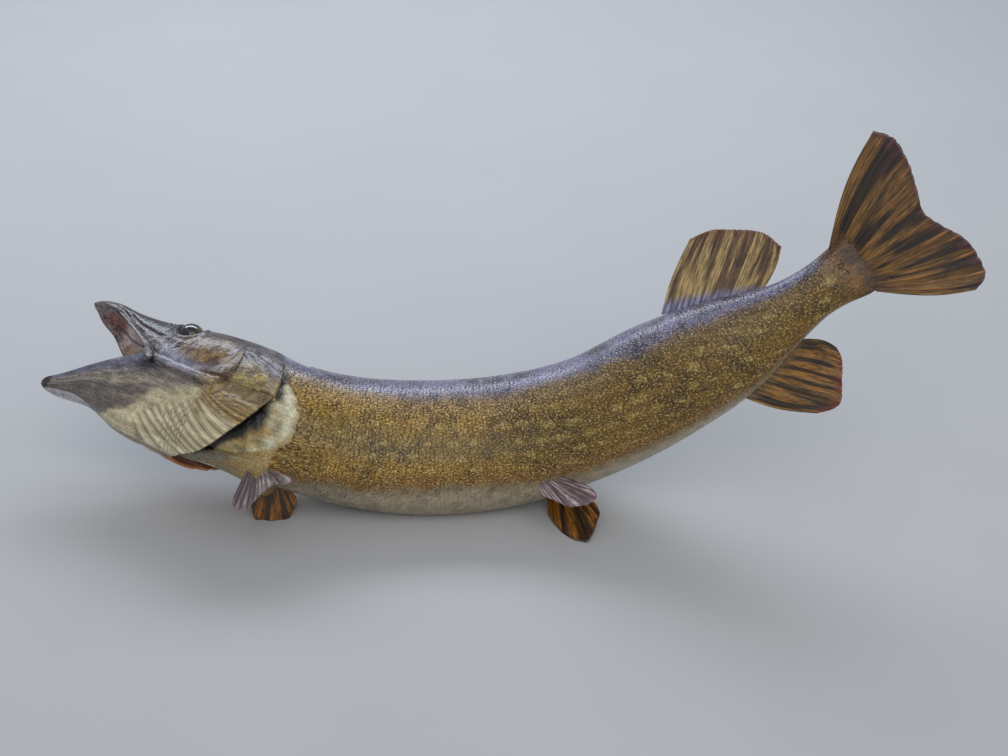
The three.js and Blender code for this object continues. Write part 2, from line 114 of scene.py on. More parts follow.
# Gill cover: its corners as (back, up, out), before it is laid on the skull.
COVER_FRONT = [(191, -11.5, 50.5), (200, 12, 50.5), (194, 37, 41.5)]
COVER_REAR = [(272, 9, 58.5), (263, 27, 57), (247, 46, 48)]
COVER_CROWN, COVER_LIFT, COVER_WALL, NECK_SHIFT = 2.0, 0.6, 2.6, -6.0

EYE_PLACE, EYE_OUT, EYE_RADIUS, EYE_BULGE, EYE_TILT = (128.5, 24.5), 22.5, 12.5, 10.0, 22.0
# Round each eye: radius of the socket, of its groove and of the ring of bone, and of the dark rim
# of painted shade.
SOCKET, SOCKET_GROOVE, SOCKET_RING, SOCKET_SHADE, SOCKET_DEPTH = 14.2, 14.6, 17.2, 16.0, 7.0

# Fins: place on the spine, root line and free edge as (back, left, up), number of rays, thickness
# at root and edge, bow, curl, and the display colours of web, rays, bars, margin and base.
FINS = {
    "dorsal_fin": dict(
        place=697, root=[(4, 0, 60), (100, 0, 33)], rays=17, thick=(3.4, 0.9), bow=4, curl=3,
        edge=[(64, 0, 115), (86, 0, 113), (107, 0, 104), (131, 0, 87), (141, 0, 66)],
        palette=[(190, 162, 108), (148, 120, 76), (92, 66, 46), (108, 64, 50), (138, 136, 164)]),
    "anal_fin": dict(
        place=742, root=[(-5, 0, -50), (69, 0, -25)], rays=15, thick=(3.4, 0.9), bow=5, curl=-3,
        edge=[(53, 0, -98), (76, 0, -100), (90, 0, -80), (99, 0, -60), (99, 0, -50)],
        palette=[(152, 108, 38), (120, 78, 30), (42, 26, 16), (122, 46, 30), (112, 86, 48)]),
    "tail_fin": dict(
        place=889, root=[(-7, 0, 28), (8, 0, -31)], rays=19, thick=(6.4, 1.0), bow=7, curl=4,
        edge=[(88, 0, 99), (99, 0, 84), (99, 0, 59), (92, 0, 29), (86, 0, 9),
              (92, 0, -8), (102, 0, -30), (105, 0, -50), (100, 0, -72), (85, 0, -79)],
        palette=[(134, 96, 40), (98, 64, 30), (28, 19, 18), (78, 42, 40), (104, 70, 40)]),
    # Near paired fins: pale lilac-grey as a fin looks with no light through it, painted shade.
    "pectoral_fin_left": dict(
        place=262, root=[(-4, 20, -56), (11, 21, -55)], rays=12, thick=(2.8, 0.9), bow=0, curl=2,
        edge=[(1, 34, -103), (7, 37, -113), (15, 37, -111), (21, 33, -97), (27, 27, -73),
              (42, 24, -58), (41, 22, -51)],
        palette=[(150, 136, 138), (168, 152, 152), (98, 84, 84), (114, 98, 100), (134, 116, 108)]),
    # Far paired fins: amber, painted backlight of the window's light shining through them.
    "pectoral_fin_right": dict(
        place=274, root=[(-5, -21, -48), (7, -20, -47)], rays=12, thick=(3.0, 1.0), bow=0, curl=2,
        edge=[(-8, -47, -79), (-4, -51, -84), (3, -56, -89), (18, -52, -87), (33, -47, -81),
              (34, -41, -73), (35, -33, -65), (31, -28, -60)],
        palette=[(156, 98, 18), (128, 76, 12), (36, 21, 8), (58, 34, 14), (96, 66, 30)]),
    # Near pelvic fin: pale lilac-grey, painted shade with no light through it.
    "pelvic_fin_left": dict(
        place=542, root=[(-22, 24, -50), (5, 26, -55)], rays=11, thick=(2.8, 0.9), bow=0, curl=2,
        edge=[(-13, 32, -71), (-4, 35, -78), (11, 41, -89), (19, 43, -92), (27, 43, -93),
              (37, 42, -91), (41, 39, -86), (37, 35, -77), (26, 30, -66)],
        palette=[(160, 138, 140), (176, 156, 156), (100, 82, 84), (122, 98, 102), (140, 120, 104)]),
    # Far pelvic fin: amber, painted backlight shining through it.
    "pelvic_fin_right": dict(
        place=542, root=[(-19, -25, -48), (9, -22, -55)], rays=11, thick=(3.0, 1.0), bow=0, curl=2,
        edge=[(-23, -14, -81), (-16, -6, -97), (-4, 1, -113), (5, 3, -119), (16, 4, -122),
              (20, 2, -117), (26, -3, -107), (31, -7, -98), (29, -12, -84)],
        palette=[(150, 96, 20), (124, 74, 14), (36, 21, 8), (58, 34, 14), (96, 66, 30)]),
}

COAT_DEPTH = 0.9                               # depth of the scales over the skin
SEED = 5                                       # every random draw starts from it


# ---------------------------------------------------------------- small tools
def unit(vectors):
    """Each vector divided by its length."""
    return vectors / np.maximum(np.linalg.norm(vectors, axis=-1, keepdims=True), 1e-9)


def smooth(x, low, high):
    """0 below low, 1 above high, and 3t^2 - 2t^3 between them."""
    t = np.clip((x - low) / (high - low), 0, 1)
    return t * t * (3 - 2 * t)


def window(x, a, b, c, d):
    """1 between b and c and 0 outside a and d, with smooth steps."""
    return smooth(x, a, b) * smooth(x, d, c)


def bell(x, width):
    """A bump of height 1 at x = 0 that falls off as exp(-(x / width)^2)."""
    return np.exp(-((x / width) ** 2))


def blend(a, b, share):
    """a where share is 0 and b where it is 1; share gets the channels' axis when it lacks it."""
    share = np.asarray(share)
    if np.ndim(a) > share.ndim or np.ndim(b) > share.ndim or np.shape(a)[-1:] == (3,):
        share = share[..., None]
    return a * (1 - share) + b * share


def flow(knots, rows):
    """A smooth curve through rows of numbers at the knots: the cubic between two knots whose
    slope at each knot is that of the parabola through the knot and its two neighbours."""
    knots = np.asarray(knots, float)
    rows = np.asarray(rows, float).reshape(len(knots), -1)
    steps = np.diff(knots)[:, None]
    rises = np.diff(rows, axis=0) / steps
    slopes = np.empty_like(rows)
    slopes[1:-1] = (rises[:-1] * steps[1:] + rises[1:] * steps[:-1]) / (steps[:-1] + steps[1:])
    slopes[0] = 1.5 * rises[0] - 0.5 * slopes[1]
    slopes[-1] = 1.5 * rises[-1] - 0.5 * slopes[-2]

    def curve(x):
        x = np.asarray(x, float)
        i = np.clip(np.searchsorted(knots, x, side="right") - 1, 0, len(knots) - 2)
        h = steps[i]
        t = (x - knots[i])[..., None] / h
        return ((1 + 2 * t) * (1 - t) ** 2 * rows[i] + t * (1 - t) ** 2 * h * slopes[i]
                + t * t * (3 - 2 * t) * rows[i + 1] + t * t * (t - 1) * h * slopes[i + 1])

    return curve


def line(knots, numbers):
    """flow through single numbers, giving one number for each place."""
    curve = flow(knots, numbers)
    return lambda x: curve(x)[..., 0]


def channels(vectors):
    """The channels of an array of vectors, each as an array of its own."""
    return np.moveaxis(vectors, -1, 0)


def together(*parts):
    """Arrays and numbers side by side, as the channels of one array of vectors."""
    return np.stack(np.broadcast_arrays(*parts), -1)


def lengths(points):
    """Distance along a line of points, from its start to each of them."""
    return np.concatenate([[0], np.cumsum(np.linalg.norm(np.diff(points, axis=0), axis=1))])


def turned(forward, lean):
    """Left and up directions of a length of fish that faces forward and leans to its right."""
    right = unit(np.cross(forward, UP))
    raised = np.cross(right, forward)
    c = np.cos(np.radians(lean))[..., None]
    s = np.sin(np.radians(lean))[..., None]
    return raised * s - right * c, raised * c + right * s


def scatter(cells, seed):
    """A number from 0 to 1 for each whole-numbered cell: products of the cell's numbers with
    large primes, folded over themselves."""
    cells = np.asarray(cells, np.int64)
    primes = np.array([73856093, 19349663, 83492791], np.int64)[: cells.shape[-1]]
    mixed = np.bitwise_xor.reduce(cells * primes, axis=-1) ^ np.int64(seed * 2654435)
    mixed = (mixed ^ (mixed >> 13)) * np.int64(1274126177) & np.int64(0x7FFFFFFF)
    return ((mixed ^ (mixed >> 16)) & np.int64(0xFFFF)) / 65535.0


def drift(points, size, seed):
    """A smooth random field from 0 to 1: each corner of a grid of cubes of that size has its own
    number, and they are blended across a cube by 3t^2 - 2t^3."""
    q = points / size
    cell = np.floor(q).astype(np.int64)
    w = (q - cell) ** 2 * (3 - 2 * (q - cell))
    total = 0
    for corner in np.ndindex(*(2,) * points.shape[-1]):
        share = np.prod(np.where(np.array(corner) == 1, w, 1 - w), axis=-1)
        total = total + share * scatter(cell + np.array(corner), seed)
    return total


def layered(points, size, seed, layers=3):
    """Layers of drift, each half as large and half as strong as the last."""
    shares = [0.5 ** i for i in range(layers)]
    return sum(f * drift(points, size * f, seed + i) for i, f in enumerate(shares)) / sum(shares)


# ---------------------------------------------------------------- the head's axes and the skin
def direction(heading, pitch):
    """The direction that is turned by heading from +X and raised by pitch, in degrees."""
    h, p = math.radians(heading), math.radians(pitch)
    return np.array([math.cos(h) * math.cos(p), math.sin(h) * math.cos(p), math.sin(p)])


HEAD_FORWARD = direction(HEAD_HEADING, HEAD_PITCH)
HEAD_LEFT, HEAD_UP = turned(HEAD_FORWARD, np.array(HEAD_LEAN))


def on_head(back, up, left):
    """The point that lies back, up and left of the snout's tip on the head's own axes."""
    back, up, left = (np.asarray(part, float)[..., None] for part in (back, up, left))
    return HEAD_TIP - HEAD_FORWARD * back + HEAD_UP * up + HEAD_LEFT * left


def head_place(points):
    """Back, up and left of each point, on the head's own axes."""
    away = points - HEAD_TIP
    return together(-away @ HEAD_FORWARD, away @ HEAD_UP, away @ HEAD_LEFT)


def spine_tables():
    """The knots along the spine, its points and the section's numbers there."""
    back, rise, top, mid, bottom, side, box, hang = HEAD_SECTIONS.T
    head = together(top - rise, mid - rise, bottom - rise, side, HEAD_LEAN, box, hang)
    deep, wide, lean = BODY_SECTIONS[:, 3:].T
    body = together(deep, 0, -deep, wide, lean, BODY_BOX, 0)
    points = np.concatenate([on_head(back, rise, 0 * back), BODY_SECTIONS[:, :3]])
    return lengths(points), points, np.concatenate([head, body])


KNOTS, SPINE_POINTS, SECTION_ROWS = spine_tables()
SPINE_END = KNOTS[-1]
spine = flow(KNOTS, SPINE_POINTS)
section = flow(KNOTS, SECTION_ROWS)


def frames(s):
    """Point, forward, left and up directions of the spine at the places s; past its end it runs
    straight on."""
    reach = 0.5
    inside = np.minimum(s, SPINE_END)
    ahead = spine(np.maximum(inside - reach, 0))
    behind = spine(np.minimum(inside + reach, SPINE_END))
    forward = unit(ahead - behind)
    left, up = turned(forward, section(inside)[..., 4])
    return spine(inside) - forward * (s - inside)[..., None], forward, left, up


def skin_point(s, phi, proud):
    """A point of the skin at place s and turn phi (0 on the back, a quarter turn on the left
    flank): half width times |sin phi|^box to the side, and top or bottom times |cos phi|^box
    above the section's middle, with the palate drawn in from the lips where it is hollow.  The
    half width dies away on the tail as 1 - run^2."""
    centre, _, left, up = frames(s)
    top, middle, bottom, side, _, box, hang = channels(section(np.minimum(s, SPINE_END)))
    run = np.clip((s - TAIL_TAPER) / (SPINE_END + TAIL_REACH - TAIL_TAPER), 0, 1)
    side = np.minimum(side, TAIL_THIN + side * (1 - run ** 2))
    c, sn = np.cos(phi), np.sin(phi)
    hollow = np.clip((bottom - middle) / LIP_DEPTH, 0, 1)
    inner = hollow * np.clip(-c / LIP_TURN, 0, 1)
    lip = middle - proud * (1 + 2 * hollow)
    end = np.where(c >= 0, top + proud, bottom - proud)
    height = lip + (end - lip) * np.abs(c) ** box - hang * ((1 - sn) / 2) ** 4
    half = (side + proud * (1 - 2 * inner)) * np.abs(sn) ** box - LIP_WIDTH * inner
    return centre + left * (np.sign(sn) * np.maximum(half, 0.1))[..., None] + up * height[..., None]


throat_rows = flow(np.arange(len(THROAT_SECTIONS)), THROAT_SECTIONS)
# Rear edges of the shown membrane and of the hidden one: the station by turn, keel 0 to rim 1.
FRINGE = line([0, 0.12, 0.29, 0.49, 0.65, 0.81, 1], [6.9, 7.38, 8.12, 8.47, 8.7, 8.9, 9])
HIDDEN_EDGE = line([0, 0.08, 0.2, 0.35, 0.55, 0.8, 1], [6.9, 7.05, 7.35, 7.9, 8.5, 8.85, 9])


def throat_point(v, psi, wall, floor):
    """A point of the jaw's trough at station v and turn psi, from -1 on the right rim through 0
    on the keel to 1 on the left rim: out is rim times |sin|^bulge, and the height runs from
    keel to rim as 1 - |cos|^bulge; wall moves it inward and floor raises the keel."""
    rim_back, rim_up, rim_out, keel_back, keel_up, bow, shift = channels(throat_rows(v))
    angle = psi * math.pi / 2
    rise = floor + (1 - floor) * (1 - np.abs(np.cos(angle)) ** THROAT_BULGE)
    out = (rim_out - wall) * np.sign(psi) * np.abs(np.sin(angle)) ** THROAT_BULGE
    swell = bow * np.where(psi < 0, RIGHT_BOW, 1) * np.sin(math.pi * np.abs(psi))
    return on_head(keel_back + (rim_back - keel_back) * rise + swell,
                   keel_up + (rim_up - keel_up) * rise, out + shift)


def outward(points, wrap=False):
    """Unit normals of a grid of points: the cross product of its two central differences."""
    if wrap:
        across = np.roll(points, -1, 1) - np.roll(points, 1, 1)
    else:
        across = np.gradient(points, axis=1)
    return unit(np.cross(across, np.gradient(points, axis=0)))


# ---------------------------------------------------------------- relief of the head
# Lines on the head are rows of (back, up) on its own axes.
MAXILLA_TOP = [(56, 7), (63, 4), (90, 0), (115, 0), (134, -1), (147, 2)]
MAXILLA_LOW = [(24, 7), (37, 6), (69, -2), (96, -9), (118, -15), (130, -13)]
SNOUT_BROW = [(40, 15), (62, 19), (88, 25), (112, 33), (120, 37)]
CHEEK_CANAL = [(150, 36), (168, 41), (190, 46)]
COLLAR = [(195, 40), (205, 32), (212, 23), (217, 13), (219, 4), (218, -5), (213, -13), (206, -20),
          (199, -24), (191, -24), (184, -21)]
CRESCENT = [(193, 38), (199, 28), (200, 14), (195, 3), (180, -9), (170, -18), (154, -23)]
# Grooves of the head: a line, its width and its depth (mm).
GROOVES = [(MAXILLA_TOP, 1.3, 1.5), (MAXILLA_LOW, 1.0, 0.9), (SNOUT_BROW, 1.2, 0.8),
           (CHEEK_CANAL, 1.5, 0.7)]
PORES = [(116, 13), (119, 4), (128, 6), (135, 6), (141, 9), (146, 10), (108, 9), (98, 12),
         (154, 12), (198, 22), (197, 10), (189, -2), (176, -11), (162, -17)]
NOSTRILS = [(101, 19), (107, 20)]

# Branchiostegal rays: number, station and turn where a ray starts, and its turn at the last
# station, where it lies along the membrane's edge.
RAY_TABLE = flow([0, 2, 4, 6, 8, 10, 12, 14], [
    (4.62, 0.32, -0.7), (5.5, 0.43, 0.08), (5.9, 0.58, 0.19), (6.25, 0.73, 0.33),
    (6.8, 0.8, 0.48), (7.15, 0.86, 0.66), (7.4, 0.9, 0.8), (7.6, 0.93, 0.9)])
RAY_COUNT = 14


def beside(back, up, knots):
    """Distance of each point from a smooth line through the knots, the share of the line's length
    at the nearest place, and the side that the point lies on (1 is behind)."""
    knots = np.array(knots, float)
    marks = lengths(knots)
    fine = flow(marks, knots)(np.linspace(0, marks[-1], 6 * len(knots)))
    start, step = fine[:-1], np.diff(fine, axis=0)
    away = together(back, up)[..., None, :] - start
    t = np.clip((away * step).sum(-1) / (step ** 2).sum(-1), 0, 1)
    offset = away - t[..., None] * step
    distance = np.linalg.norm(offset, axis=-1)
    nearest = distance.argmin(-1)
    pick = np.take_along_axis
    near = pick(distance, nearest[..., None], -1)[..., 0]
    share = (nearest + pick(t, nearest[..., None], -1)[..., 0]) / len(step)
    cross = step[..., 0] * offset[..., 1] - step[..., 1] * offset[..., 0]
    side = np.sign(pick(cross, nearest[..., None], -1)[..., 0])
    return near, share, side


def furrow(back, up, knots, width):
    """1 in the middle of a line and 0 off it, as a bell of that width that dies at its ends."""
    near, share, _ = beside(back, up, knots)
    return bell(near, width) * window(share, 0, 0.08, 0.92, 1)


def ray_number(v, psi):
    """Number of the branchiostegal ray at a place on the throat: a count of the rays whose line
    psi = end + (start - end)(1 - t)^2 lies below it, with the share of the last gap."""
    starts = RAY_TABLE(np.arange(RAY_COUNT + 1))
    first, high, low = starts[:, 0], starts[:, 1], starts[:, 2]
    t = np.clip((v[..., None] - first) / (LAST_STATION - first), -0.25, 1)
    lines = low + (high - low) * (1 - t) ** 2
    gaps = np.diff(lines, axis=-1)
    return np.clip((np.abs(psi)[..., None] - lines[..., :-1]) / gaps, 0, 1).sum(-1)


def eye_axes(side):
    """Centre and outward direction of the left (1) or right (-1) eye."""
    tilt = math.radians(EYE_TILT)
    out = HEAD_LEFT * side * math.cos(tilt) + HEAD_UP * math.sin(tilt)
    return on_head(EYE_PLACE[0], EYE_PLACE[1], side * EYE_OUT), out


def eye_relief(points):
    """Height (mm) and painted shade (0 to 1) of the socket, the ring of bone round it and the brow.
    """
    height, dent = 0, 0
    for side in (1, -1):
        centre, out = eye_axes(side)
        away = points - centre
        depth = away @ out
        radius = np.linalg.norm(away - depth[..., None] * out, axis=-1)
        front = smooth(depth, -8, -2)
        height = height + front * (bell(radius - SOCKET_RING, 2.0)
                                   - SOCKET_DEPTH * smooth(SOCKET - radius, 0, 2.2)
                                   - 0.6 * bell(radius - SOCKET_GROOVE, 1.0))
        # Painted shade in a rim round the socket, where the glass eye sits in it.
        dent = dent + front * smooth(SOCKET_SHADE - radius, 0, 2.2)
    return height, np.clip(dent, 0, 1)


def head_relief(points, phi=None):
    """Height (mm) and painted shade (0 to 1) of the lines, plates, pores and folds of the head's
    skin.
    """
    back, up, left = channels(head_place(points))
    outer = np.ones_like(back) if phi is None else smooth(np.cos(phi), -0.2, 0.1)
    height, dent = eye_relief(points)
    # The share built up here darkens the grooves, the collar's step, the pores and the nostrils:
    # painted shade.
    for knots, width, depth in GROOVES:
        cut = furrow(back, up, knots, width) * outer
        height = height - depth * cut
        dent = np.maximum(dent, 0.8 * cut)
    near, share, side = beside(back, up, COLLAR)
    ends = window(share, 0, 0.1, 0.9, 1) * outer
    step = smooth(near * side, -0.6, 0.6)
    height = height + ends * smooth(16 - near, 0, 12) * (1.1 - 1.6 * step)
    dent = np.maximum(dent, ends * bell(near - 0.4 * side, 1.1))
    for spot in PORES:
        gap = np.hypot(back - spot[0], up - spot[1])
        height = height - 0.5 * bell(gap, 0.8) * outer
        dent = np.maximum(dent, bell(gap, 0.8) * outer)
    for spot in NOSTRILS:
        gap = np.hypot((back - spot[0]) / 1.4, up - spot[1])
        height = height + (0.5 * bell(gap - 2.3, 0.7) - 1.4 * bell(gap, 1.3)) * outer
        dent = np.maximum(dent, bell(gap, 1.5) * outer)
    cheek = bell(np.hypot(back - 172, up - 12), 20) * outer
    skull = window(back, 60, 110, 202, 232) * outer
    ridge = bell(np.abs(left) - 9 - 0.05 * (back - 100), 3) * smooth(up, 14, 22)
    return height + cheek + 0.9 * skull * ridge, dent


# ---------------------------------------------------------------- colours
def tone(*rgb):
    """A display colour from 0 to 255 as linear light."""
    c = np.array(rgb) / 255
    return np.where(c < 0.04045, c / 12.92, ((c + 0.055) / 1.055) ** 2.4)


def painted(colour, *coats):
    """The colour with each coat, given as a colour and its share, laid over it in turn."""
    for over, share in coats:
        colour = blend(colour, over, share)
    return colour


def mottled(a, b, field, low, high, most=1.0):
    """a that gives way to b, by a share of most, as the field passes from low to high."""
    return blend(a, b, smooth(field, low, high) * most)


# The back's blue-grey is its own dark colour lightened and blued by painted sheen of the window's
# light.
BACK_AND_SHEEN, BACK_DARK = tone(124, 124, 158), tone(72, 70, 92)
SHOULDER_BROWN, FLANK, FLANK_DARK = tone(156, 130, 98), tone(152, 116, 36), tone(80, 58, 14)
SPOT, HEM, OLIVE = tone(182, 154, 86), tone(130, 90, 44), tone(104, 88, 22)
BELLY, BELLY_EDGE = tone(168, 154, 130), tone(138, 120, 88)
SKULL, SKULL_DARK, LILAC = tone(84, 72, 72), tone(44, 35, 35), tone(172, 164, 172)
CHEEK, CHEEK_GOLD = tone(82, 62, 44), tone(142, 114, 68)
COVER, COVER_GREEN, COVER_EDGE = tone(64, 52, 50), tone(172, 152, 98), tone(112, 104, 112)
JAW, JAW_STREAK, JAW_LINE = tone(116, 106, 98), tone(162, 152, 130), tone(70, 60, 54)
JAW_RIM, JAW_BLACK = tone(96, 92, 108), tone(30, 28, 38)
THROAT, THROAT_PALE, THROAT_LINE = tone(184, 172, 138), tone(226, 214, 178), tone(98, 84, 62)
STRIPE_GOLD, STRIPE_DARK = tone(168, 136, 76), tone(66, 46, 26)
CHIN, CHIN_LENS, MEMBRANE = tone(36, 30, 30), tone(178, 174, 176), tone(140, 138, 156)
PLATE, PLATE_PALE = tone(182, 162, 108), tone(236, 232, 200)
PLATE_EDGE, PLATE_LINE = tone(216, 214, 184), tone(92, 88, 62)
# The near-black of this row is painted shade, put in the gill slits and deep in the gill chamber.
# The orange of this row is painted backlight through the far gill membrane.
GILL, SLIT_SHADE, BACKLIT_ORANGE = tone(66, 42, 36), tone(22, 15, 15), tone(178, 112, 56)
BREAST, BREAST_GOLD = tone(122, 116, 96), tone(150, 116, 56)
TAIL_BASE = tone(122, 86, 40)
PALATE_DARK, PALATE_SPECK, PALATE_RED = tone(136, 112, 104), tone(44, 34, 32), tone(120, 56, 34)
PALATE_PINK, AMBER, SEAM_RED = tone(198, 178, 176), tone(150, 116, 78), tone(64, 36, 28)
# The lips' blue-grey carries painted shine, a highlight on the jaw's bone.
LIP_BLUE_AND_SHINE, LIP_BROWN = tone(112, 116, 132), tone(46, 40, 42)
LINING, TONGUE = tone(148, 128, 118), tone(166, 144, 130)

# Layered noise: the size (mm, or ray and ring counts) of its largest clouds, and its seed.
BODY_CLOUDS, BODY_GRAIN, BELLY_CLOUDS, PLATE_STREAKS = (34, 11), (9, 23), (7, 27), (7, 31)
HEAD_CLOUDS, HEAD_GRAIN, PALATE_GRAIN, PALATE_STREAKS = (22, 41), (5, 43), (3, 51), (2.4, 53)
COVER_GRAIN, COVER_WRINKLES, COVER_CLOUDS, COVER_RAYS = (6, 61), (5, 63), (11, 65), (9, 101)
JAW_STREAKS, JAW_GRAIN, STREAK_EDGE, FRAYED_EDGE = (4.5, 71), (5, 73), (3, 77), (3, 91)
SKIN_FOLDS, BREAST_GRAIN, LINING_GRAIN = (8, 81), (5, 83), (6, 95)
TAIL_RAYS, SCALE_EDGE, TAIL_FOLDS, TAIL_EDGE = (3, 85), (3, 87), (2, 89), (3, 93)

# Turn (degrees) of the belly's border along the spine, and of the back's.
BELLY_BORDER = line([240, 290, 340, 390, 440, 490, 530, 570, 650, 700, 760, 890],
                    [166, 160, 147, 139, 137, 139, 143, 146, 150, 152, 154, 162])
BACK_BORDER = line([230, 320, 440, 580, 680, 760, 890], [50, 56, 57, 57, 58, 55, 48])
# Place along the spine of the shoulder plate's rear edge, by turn in degrees.
PLATE_REAR = line([0, 40, 67, 74, 83, 97, 116, 131, 147, 165, 180],
                  [222, 231, 246, 256, 266, 272, 274, 269, 264, 258, 254])
# Place of the plate's front edge, where the skin comes out from under the gill covers.
PLATE_FRONT = line([0, 70, 93, 109, 126, 148, 180], [254, 254, 254.5, 258, 254, 243, 235])
# Turn of the jaw's streaked side at its lower border, and of the chin's pale lens, by station.
STREAK_LOW = line([0, 1.5, 2.1, 2.5, 2.8, 3.1, 3.75, 4.35, 4.7, 5.3, 6.2, 7.05, 9],
                  [0.1, 0.05, 0.0, 0.06, 0.24, 0.36, 0.42, 0.5, 0.59, 0.69, 0.8, 0.89, 0.92])
LENS_TOP = line([0, 0.2, 0.6, 1.1, 1.6, 1.95, 2.3, 9],
                [0.1, 0.26, 0.38, 0.4, 0.29, 0.1, -0.1, -0.1])
# Pitch of the flank's pale spots along the body and round it (mm), a spot's least size and how
# much it varies, and how far it strays from the middle of its place (shares of the pitch).
SPOT_LONG, SPOT_ROUND, SPOT_SIZE, SPOT_VARIES, SPOT_STRAYS = 25, 12.5, 0.24, 0.1, 0.24
CHEEK_BACK, CHEEK_UP, CHEEK_LONG, CHEEK_HIGH = 170, 13, 33, 19
COVER_FRONT_LINE, COVER_REAR_LINE = ([c[:2] for c in rail] for rail in (COVER_FRONT, COVER_REAR))


def bright_bands(s, degrees):
    """Where the flank glitters: 1 in a broad band under the back and in a narrow one over the hem,
    -1 in the dull olive band between them, dying away towards the tail."""
    hem = BELLY_BORDER(s) - 16
    bands = bell(degrees - 76, 13) - bell(degrees - 104, 14) + bell(degrees - hem, 8)
    return bands * smooth(s, 640, 500)


def pale_spots(s, degrees, girth, grain):
    """Share of the pale spots: a soft-edged ellipse in each cell of a brick pattern along the body
    and round it, strayed from the cell's middle; a quarter of the cells stay empty."""
    cell = together(s / SPOT_LONG, girth / SPOT_ROUND)
    cell[..., 0] += 0.5 * (np.floor(cell[..., 1]) % 2)
    home = np.floor(cell).astype(np.int64)
    stray = together(*(scatter(home, seed) - 0.5 for seed in (3, 4)))
    along, across = channels(cell - home - 0.5 - SPOT_STRAYS * stray)
    size = SPOT_SIZE + SPOT_VARIES * scatter(home, 5)
    spot = smooth(1.25 - np.hypot(along / size, across / (0.75 * size)), 0, 0.7)
    spot = spot * (scatter(home, 6) > 0.25) * smooth(degrees, 62, 85) * (0.55 + 0.6 * grain)
    return np.clip(spot, 0, 0.7)


def body_tint(s, degrees, points, girth):
    """Colour of the body's skin: dark back with painted sheen, golden flank with rows of pale
    spots, a ragged brown hem and an off-white belly, darkened in front by painted shade and in
    clouds."""
    cloud, grain = layered(points, *BODY_CLOUDS) - 0.5, layered(points, *BODY_GRAIN) - 0.5
    upper = smooth(degrees, 55, 92) * smooth(degrees, 30, 60)
    flank = blend(mottled(SHOULDER_BROWN, FLANK_DARK, grain, -0.1, 0.3, 0.6),
                  mottled(FLANK, FLANK_DARK, grain + 0.6 * cloud, -0.12, 0.3, 0.75), upper)
    band = bright_bands(s, degrees)
    flank = flank * ((1 - 0.3 * smooth(s, 430, 560)) * (1 + 0.22 * band))[..., None]
    between = 0.5 + 0.5 * np.cos(2 * math.pi * girth / SPOT_ROUND)
    flank = painted(flank, (OLIVE, np.clip(-band, 0, 1) * 0.3),
                    (FLANK_DARK, 0.35 * between * smooth(s, 440, 600)),
                    (SPOT, pale_spots(s, degrees, girth, grain)))
    above = degrees - (BACK_BORDER(s) + 22 * cloud + 10 * grain)
    below = degrees - (BELLY_BORDER(s) + 9 * cloud + 12 * grain)
    # The belly darkens towards the front as painted shade, and in random clouds as mottling.
    front_shade_and_mottle = 0.18 * smooth(s, 400, 300) + 0.25 * smooth(layered(points, *BELLY_CLOUDS), 0.5, 0.7)
    belly = mottled(BELLY_EDGE, BELLY, below, 2, 16) * (1 - front_shade_and_mottle)[..., None]
    # The back's colour in the first coat below carries its painted sheen.
    return painted(
        mottled(BACK_AND_SHEEN, BACK_DARK, cloud + grain, -0.2, 0.35),
        (flank, smooth(above, -7, 9)),
        (HEM, smooth(below, -17, -7) * (0.65 + grain)),
        (belly, smooth(below, -3, 3)))


def plate_tint(s, degrees, points):
    """Colour of the bare shoulder plate: greenish cream with gold streaks, and a light line inside
    its rear edge."""
    streak = layered(points @ np.diag([0.35, 1, 1]), *PLATE_STREAKS)
    behind = PLATE_REAR(degrees) - s
    return painted(
        mottled(PLATE, PLATE_PALE, degrees, 122, 84, 0.9),
        (STRIPE_GOLD, smooth(streak, 0.5, 0.66) * smooth(degrees, 78, 100) * 0.8),
        (PLATE_LINE, bell(streak - 0.42, 0.03) * 0.5),
        (PLATE_EDGE, bell(behind - 5, 2.6) * smooth(degrees, 60, 80)),
        (PLATE_LINE, bell(behind - 9.5, 1.2) * smooth(degrees, 75, 95) * 0.7))


